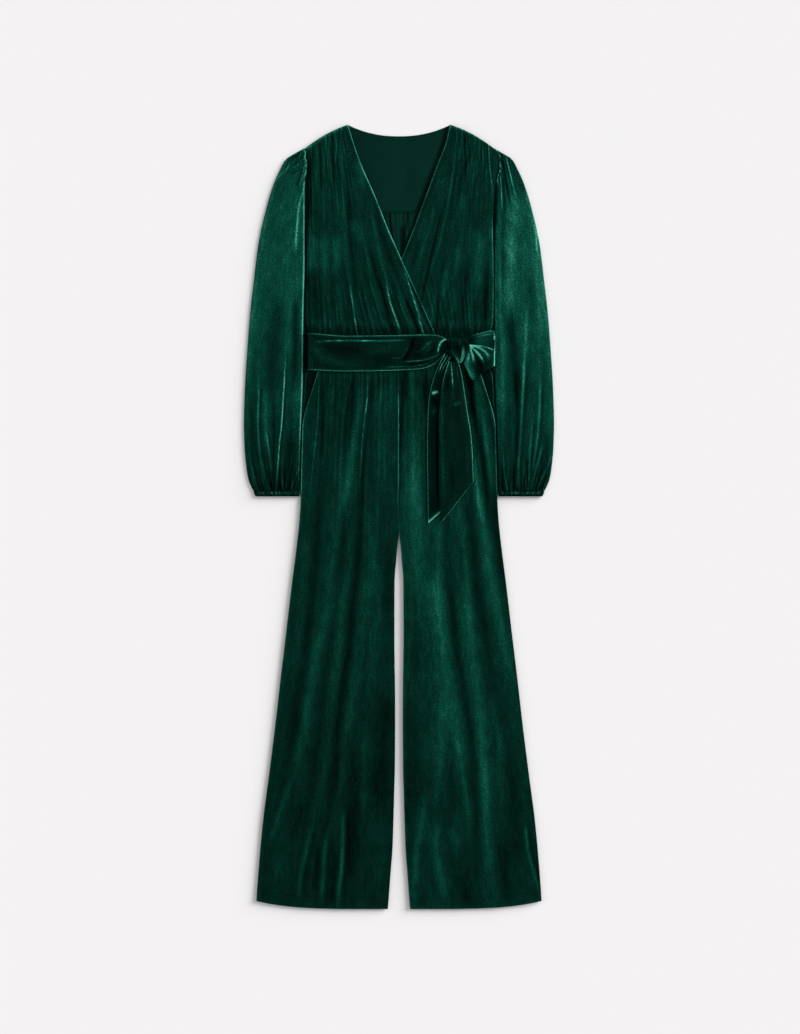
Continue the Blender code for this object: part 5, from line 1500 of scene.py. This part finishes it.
# %% Bow loop
# Each fold: width, height, how pale its painted highlight, how dark the painted shadow on its right, then
# its points.
LOOP_PLEATS = [
    (11, .3, .28, 0, (109.2, 394.1), (127.7, 408.9), (144.3, 423.7), (161, 438.5), (181.3, 460.7)),
    (1.5, 1, .8, 0, (118.4, 405.9), (135.1, 407.7), (149.8, 410), (162.8, 413.3), (177.6, 418.8),
     (188.7, 423.7)),
    (2.4, 1.5, .95, 0, (115.6, 404), (129.5, 408.9), (142.5, 412.2), (152.6, 416.6), (160.2, 422.9),
     (165.6, 431.1), (169.3, 442.2)),
    (2.6, 1.5, 1.15, 0, (118.4, 401.5), (128.6, 410), (136.2, 415.5), (143, 421.1), (149.1, 428.1),
     (153.6, 435.5), (155.8, 442.2), (157.6, 451.4)),
    (2.5, 1.4, 1, 0, (122.1, 395.9), (128.8, 408.9), (132.8, 419), (135.4, 428.3), (137.3, 438.5),
     (138.4, 447.7)),
    (2, 1, .7, 0, (132.5, 397.8), (131.3, 413.5), (129.5, 424.9), (127.7, 432.9), (125.8, 447.7)),
    (1.2, -1, -1, 0, (126.7, 407), (137.6, 413.3), (145.8, 418.8), (151.7, 425.5), (157.2, 434.8),
     (162.8, 449.6)),
    (1.5, -1, -1.2, 0, (127.3, 407), (134.3, 416.2), (139.5, 424.8), (144.3, 434.8), (149.1, 451.4)),
    (1, -.8, -.9, 0, (128, 407), (130.2, 420), (131.3, 429.2), (132.5, 440.3)),
    (8, .3, .56, 0, (117.5, 416.2), (125.8, 440.3), (131.3, 460.7), (137.8, 490.2)),
    (7, -.9, -.36, 0, (148, 423.7), (148, 449.6), (148, 475.5), (148, 505.1)),
    (9, -.9, -.3, 0, (142.5, 449.6), (157.2, 445.9), (172.1, 442.2), (190.6, 436.6)),
    (2.2, .5, .5, 0, (161, 412.6), (168.3, 415.5), (177.6, 420)),
]
loop_edges = smooth_table(
    (0, 127, 396, 124, 428, 0), (1, 139, 389, 140, 434, .3), (2, 154, 385, 155, 438, .8),
    (3, 167, 382, 167, 441, 1.8), (4, 175, 382, 175, 443, 5.2), (5, 177.2, 394, 176.8, 446, 9.6),
    (6, 173.5, 413, 168.5, 449, 13), (7, 161, 411.5, 154, 457, 14.6), (8, 145, 409, 136.5, 473, 13.6),
    (9, 130, 407.5, 120.5, 443, 10.5),
)
LOOP_WIDTH = 50


def loop_tone(at, share):
    """Painted highlights on the lower layer's edges, a fold in it and the far turn; painted shade by the
    knot.
    """
    behind = 1 - ramp(at, 4.6, 5.4)
    from_top, from_foot = share * LOOP_WIDTH, (1 - share) * LOOP_WIDTH
    turn = mix(0.2, 0.42, ramp(share, 0.12, 0.4))
    back_line = hump(share - 0.15 + 0.018 * at, 0.022) * ramp(at, 0.6, 2) * (1 - ramp(at, 4, 4.6))
    yield 0.6 * behind * fading(from_top, 1.2) * (1 - 0.6 * ramp(at, 3.6, 4.4))
    yield 0.3 * behind * fading(from_foot, 1.2) + 0.22 * behind
    yield 1.6 * hump(at - 5.05, turn) * mix(0.8, 1.0, ramp(share, 0.3, 0.5))
    yield 0.45 * back_line - 0.5 * (1 - ramp(at, 0.4, 1.6))


def make_loop():
    at = np.linspace(0, 9, 110)[:, None]
    share = strip(LOOP_WIDTH, 30, 3)[None]
    x = mix(loop_edges(at, 0), loop_edges(at, 2), share)
    drop = mix(loop_edges(at, 1), loop_edges(at, 3), share)
    upper = ramp(at, 5.2, 6.2)
    pleats, nap = press(x, drop, LOOP_PLEATS)
    pleats, nap = pleats * upper * rolled(np.minimum(share, 1 - share) * LOOP_WIDTH, 3), nap * upper
    sag = -0.8 * hump(at - 6.2, 0.9) * np.sin(math.pi * share)
    z = bed.level(np.minimum(x, 168), drop) + REST + loop_edges(at, 4) + pleats + sag
    for tone in loop_tone(at, share):
        nap += tone
    face = place(x, drop, z)
    return sew("sash_loop_cloth", face, inset(face, SASH_CLOTH), [sash_pile], nap)


sash_loop_cloth = make_loop()
bed.add(sash_loop_cloth)

# %% [markdown]
# ## Knot
# The knot is a short length of the same cloth wrapped over the crossing. All that shows is a dome
# drawn into ridges that lean the way the cloth is wound, so the dome and its ridges are made, and the
# windings beneath are left out.

# %% Knot
knot_shape = smooth_table(
    (395.5, 107, 14, 3), (401, 107, 20, 7.5), (411, 107.5, 22.5, 10.5), (421, 109, 19, 10),
    (429, 111, 12.5, 8), (436, 111.6, 7, 6), (441.5, 111.2, 2.6, 3.5),
)
KNOT_TOP, KNOT_FOOT = 395.5, 441.5
RIDGES = (  # share across, size, width, and the painted highlight on its crest
    (.08, .8, .035, .2), (.22, 1.2, .04, .8), (.37, .9, .035, .9), (.55, .7, .05, .3),
    (.70, 1.1, .035, .6), (.84, 1.3, .04, .6), (.95, .8, .03, .3),
)
FACETS = ((0.62, 404, .05, 7, .5), (0.74, 421, .09, 16, 1.15))  # share across, drop, width, length, and the painted highlight on the facet


def make_knot():
    drop = np.concatenate([KNOT_TOP + BEAD[:6] * 0.8, np.linspace(398, 439, 34),
                           KNOT_FOOT - BEAD[5::-1] * 0.8])[:, None]
    v = np.linspace(0, 1, 73)[None]
    across_knot = 2 * v - 1
    x = knot_shape(drop, 0) + knot_shape(drop, 1) * across_knot
    rest = bed.level(x, drop, widen=2) + 1.1
    dome = np.clip(1 - across_knot**2, 0, 1) ** 0.45
    lean = v + 0.10 * ramp(drop, 398, 440) * np.sin(math.pi * v) - 0.05
    ridges, nap = np.zeros(x.shape), np.zeros(x.shape)
    for centre, size, width, glow in RIDGES:
        crest = hump(lean - centre, width)
        ridges += size * crest
        nap += size * glow * crest * mix(0.15, 1.0, ramp(drop, 416, 438))
    z = rest + 1.4 + knot_shape(drop, 2) * dome + 0.9 * ridges * dome
    # A painted highlight along the foot of the knot and painted shade across its upper middle.
    nap += 0.6 * hump(KNOT_FOOT - drop, 5) - 0.5 * hump(drop - 409, 13)
    for at, down, wide, tall, tone in FACETS:
        nap += tone * np.exp(-(((v - at) / wide) ** 2) - ((drop - down) / tall) ** 2)
    return sew("sash_knot_cloth", place(x, drop + 0 * v, z), place(x, drop + 0 * v, rest - 0.5),
               [sash_pile], nap)


sash_knot_cloth = make_knot()

# %% [markdown]
# ## Handing the cloth to the frame
# Every sheet rides on the one body and stands for its solid, which is hidden.

# %% Attaching the sheets
def dress(piece, node, flat, held, rests_on, area):
    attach(piece, "root")
    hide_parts(node)
    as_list(rests_on)


CUTS = [  # piece, node, cut width and length in metres, how it is held, what it rests on, cut area
    (back_yoke_cloth, "back_yoke", (.356, .164), "laid", [], .0528),
    (back_bodice_cloth, "back_bodice", (.420, .262), "gathered", [], .1040),
    (wrap_lap_cloth, "wrap_lap", (.330, .430), "gathered", ["back_bodice", "back_yoke", "wrap_under"],
     .0800),
    (wrap_under_cloth, "wrap_under", (.320, .430), "gathered", ["back_bodice", "back_yoke"], .0770),
    (sash_band_cloth, "sash_band", (.067, .650), "laid", ["wrap_lap", "trouser_front_left"], .0432),
    (sash_knot_cloth, "sash_knot", (.060, .050), "gathered", ["sash_band", "sash_tail_over"], .0026),
    (sash_loop_cloth, "sash_loop", (.064, .110), "folded", ["sash_band", "sash_knot"], .0062),
    (tail_over_cloth, "sash_tail_over", (.064, .300), "laid", ["trouser_front_right", "sash_tail_under"],
     .0148),
    (tail_under_cloth, "sash_tail_under", (.067, .310), "laid", ["trouser_front_right"], .0168),
]
for _, word in SIDES:
    back = f"trouser_back_{word}"
    CUTS += [
        (sleeves[word], f"sleeve_{word}", (.260, .660), "gathered", [f"cuff_{word}"], .1280),
        (cuffs[word], f"cuff_{word}", (.172, .0135), "gathered", [], .0023),
        (trouser_fronts[word], f"trouser_front_{word}", (.258, 1.034), "laid", [back], .2180),
        (trouser_backs[word], back, (.258, 1.034), "laid", [], .2160),
        (pockets[word], f"pocket_{word}", (.056, .112), "laid", [back], .0036),
    ]
for row in CUTS:
    dress(*row)
print(len(CUTS), "sheets declared")

# %% [markdown]
# ## Stitches
# Sewing is a row of equal stitches along a line, which is work for Geometry Nodes: a line of points
# becomes a curve, the curve is measured off in stitch lengths, and one small capsule is set on each
# mark, turned along the line. The thread is green, with a fine twist. A texture of stitches would
# need its own map along every seam.

# %% Stitch maker
def stitch_tree(thread):
    tree = bpy.data.node_groups.new("stitch_row", "GeometryNodeTree")
    face = tree.interface
    face.new_socket("Line", in_out="INPUT", socket_type="NodeSocketGeometry")
    for name, value in (("Pitch", 0.0034), ("Stitch length", 0.0024), ("Thread", 0.0005)):
        face.new_socket(name, in_out="INPUT", socket_type="NodeSocketFloat").default_value = value
    face.new_socket("Stitches", in_out="OUTPUT", socket_type="NodeSocketGeometry")
    start = Wire(tree)
    given = start.node("NodeGroupInput")
    line, pitch, length, width = (Wire(tree, given.outputs[k]) for k in range(4))
    curve = start.out("GeometryNodeMeshToCurve", Mesh=line)
    marks = start.node("GeometryNodeCurveToPoints", {"mode": "LENGTH"}, Curve=curve, Length=pitch)
    capsule = start.out("GeometryNodeMeshUVSphere", Segments=6, Rings=4, Radius=1.0)
    size = start.out("ShaderNodeCombineXYZ", X=width * 0.5, Y=width * 0.5, Z=length * 0.5)
    rows = start.out("GeometryNodeInstanceOnPoints", Points=Wire(tree, marks.outputs["Points"]),
                     Instance=capsule, Rotation=Wire(tree, marks.outputs["Rotation"]), Scale=size)
    solid = start.out("GeometryNodeRealizeInstances", Geometry=rows)
    painted = start.out("GeometryNodeSetMaterial", Geometry=solid, Material=thread)
    start.node("NodeGroupOutput", s0=painted)
    return tree


def thread_finish(name, colour):
    """Twisted thread: a fine diagonal twist over its own green."""
    material, shader, start = blank(name)
    where = start.out("ShaderNodeTexCoord", output=3)
    twist = start.out("ShaderNodeTexWave", {"bands_direction": "DIAGONAL"}, Vector=where, Scale=900.0)
    low, high = [tuple(c * k for c in colour) for k in (0.6, 1.3)]
    start.fill(
        shader,
        Base_Color=start.out("ShaderNodeValToRGB", {"stops": [(0, low), (1, high)]}, Fac=twist),
        Roughness=0.45 + twist * 0.2,
        Normal=start.out("ShaderNodeBump", Height=twist, Strength=0.3, Distance=0.0001),
        Specular_IOR_Level=0.15, Specular_Tint=(0.3, 1, 0.75, 1),
    )
    return material


STITCHES = stitch_tree(thread_finish("green_thread", (.0006, .014, .0095)))


def stitch_row(name, lines, pitch=0.0034):
    """Stitches along one or more lines of points, as one plain mesh."""
    points, edges = [], []
    for line in lines:
        start = len(points)
        points += [tuple(p) for p in line]
        edges += [(k, k + 1) for k in range(start, len(points) - 1)]
    mesh = bpy.data.meshes.new(name + "_line")
    mesh.from_pydata(points, edges, [])
    carrier = lay_out(name + "_line", mesh)
    modifier = carrier.modifiers.new("stitches", "NODES")
    modifier.node_group = STITCHES
    sockets = {s.name: s.identifier for s in STITCHES.interface.items_tree if s.in_out == "INPUT"}
    modifier[sockets["Pitch"]] = pitch
    graph = bpy.context.evaluated_depsgraph_get()
    made = bpy.data.meshes.new_from_object(carrier.evaluated_get(graph))
    bpy.data.objects.remove(carrier)
    made.shade_smooth()
    row = lay_out(name, made)
    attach(row, "root")
    print(name, len(made.polygons), "faces")


def on_face(piece, x, drop):
    """Points on the face of a sheet, straight below each place."""
    faces = [tuple(f.vertices) for f in piece.data.polygons]
    tree = BVHTree.FromPolygons(points_of(piece).tolist(), faces)
    line = []
    for at in place(np.asarray(x, float), np.asarray(drop, float), 60.0).tolist():
        hit = tree.ray_cast(at, (0, 0, -1))[0]
        if hit is not None:
            line.append(tuple(hit))
    return line


# %% [markdown]
# ## Where it is stitched
# Hems, pocket mouths and cuffs have their rows of stitches, the neck edges have one just inside the
# turned edge, and the yoke one above its seam. Each row is a line in garment measure, dropped from
# above onto the finished sheet, so that it follows the folds.

# %% Sewing the stitches
for side, word in SIDES:
    front = trouser_fronts[word]
    u = np.linspace(0.02, 0.98, 90)
    drop = LENGTH - HEM_STITCH - hem_rise(u)
    x = side * mix(side_seam(drop), inseam(drop), u)
    stitch_row(f"hem_stitches_{word}", [on_face(front, x, drop)])
    drop = np.linspace(462, 540, 40)
    x = side * (pocket_mouth(drop) - 6)
    stitch_row(f"pocket_stitches_{word}", [on_face(front, x, drop)])
    x = side * np.linspace(187, 264, 60)
    rows = [on_face(cuffs[word], x, CUFF_SEAM + down + 0 * x) for down in (2.6, 8.4)]
    stitch_row(f"cuff_stitches_{word}", rows, 0.003)
for name, node, piece, column, inward, end in (
    ("lap_edge_stitches", "wrap_lap", wrap_lap_cloth, 0, -5.5, 380),
    ("under_edge_stitches", "wrap_under", wrap_under_cloth, 1, 5.5, 252),
):
    drop = np.linspace(8, end, 130)
    stitch_row(name, [on_face(piece, wrap_edge(drop, column) + inward, drop)])
x = np.linspace(-88, 88, 70)
stitch_row("neck_stitches", [on_face(back_yoke_cloth, x, upper_edge(x) + 7)])
x = np.linspace(-165, 165, 110)
stitch_row("yoke_stitches", [on_face(back_yoke_cloth, x, YOKE_SEAM - 4 + 0 * x)])

# %% [markdown]
# ## Surface
# The picture is a cut-out on a pale ground with a soft shadow to the left and below. A wide pale floor
# just beneath the cloth takes that shadow. Its grain is so faint that it only keeps the pale from
# looking dead flat.

# %% Floor
def make_floor(size=9.0, below=-.0002):
    mesh = bpy.data.meshes.new("pale_floor")
    corners = [(-size, -size, below), (size, -size, below), (size, size, below), (-size, size, below)]
    mesh.from_pydata(corners, [], [(0, 1, 2, 3)])
    material, shader, start = blank("pale_paper")
    where = start.out("ShaderNodeTexCoord", output=3)
    grain = start.out("ShaderNodeTexNoise", Vector=where, Scale=220.0, Detail=2.0)
    pale = [(0, (.868, .852, .860)), (1, (.882, .866, .874))]
    start.fill(shader, Base_Color=start.out("ShaderNodeValToRGB", {"stops": pale}, Fac=grain),
               Roughness=1.0, Specular_IOR_Level=0.0)
    mesh.materials.append(material)
    floor = lay_out("pale_floor", mesh)


make_floor()

# %% [markdown]
# ## Light and camera
# An even sky and one broad low light from the upper right give the soft shadow. An area light would
# fall off across the garment, so the broad light is a sun with a wide angle. The camera looks straight
# down from far away with a long lens, so the garment keeps its flat proportions.

# %% Light
SKY = 0.56
WINDOW_POWER, WINDOW_SPREAD, WINDOW_TILT, WINDOW_TURN = 4.2, 44, 69, 33  # the last three in degrees


def make_light():
    world = bpy.data.worlds.new("even_sky")
    world.use_nodes = True
    Wire(world.node_tree).fill(world.node_tree.nodes["Background"], Color=(1, 1, 1, 1), Strength=SKY)
    bpy.context.scene.world = world
    sun = bpy.data.lights.new("broad_window", "SUN")
    sun.energy, sun.angle = WINDOW_POWER, math.radians(WINDOW_SPREAD)
    lamp = lay_out("broad_window", sun)
    lamp.rotation_euler = (0, math.radians(WINDOW_TILT), math.radians(WINDOW_TURN))


make_light()

# %% Camera
CAMERA_HEIGHT, SENSOR = 6.0, 36.0  # metres, and mm
SHOWN = 1.9129  # the long side of the picture spans this many metres


def make_camera():
    lens = bpy.data.cameras.new("straight_down")
    lens.sensor_width = SENSOR
    lens.lens = SENSOR * CAMERA_HEIGHT / SHOWN
    lens.clip_end = 50
    camera = lay_out("straight_down", lens)
    camera.location = (0.00185, -0.0002, CAMERA_HEIGHT)
    bpy.context.scene.camera = camera
    bpy.context.scene.view_settings.view_transform = "Standard"
    print("camera", CAMERA_HEIGHT, "m up with a lens of", round(lens.lens), "mm")


make_camera()
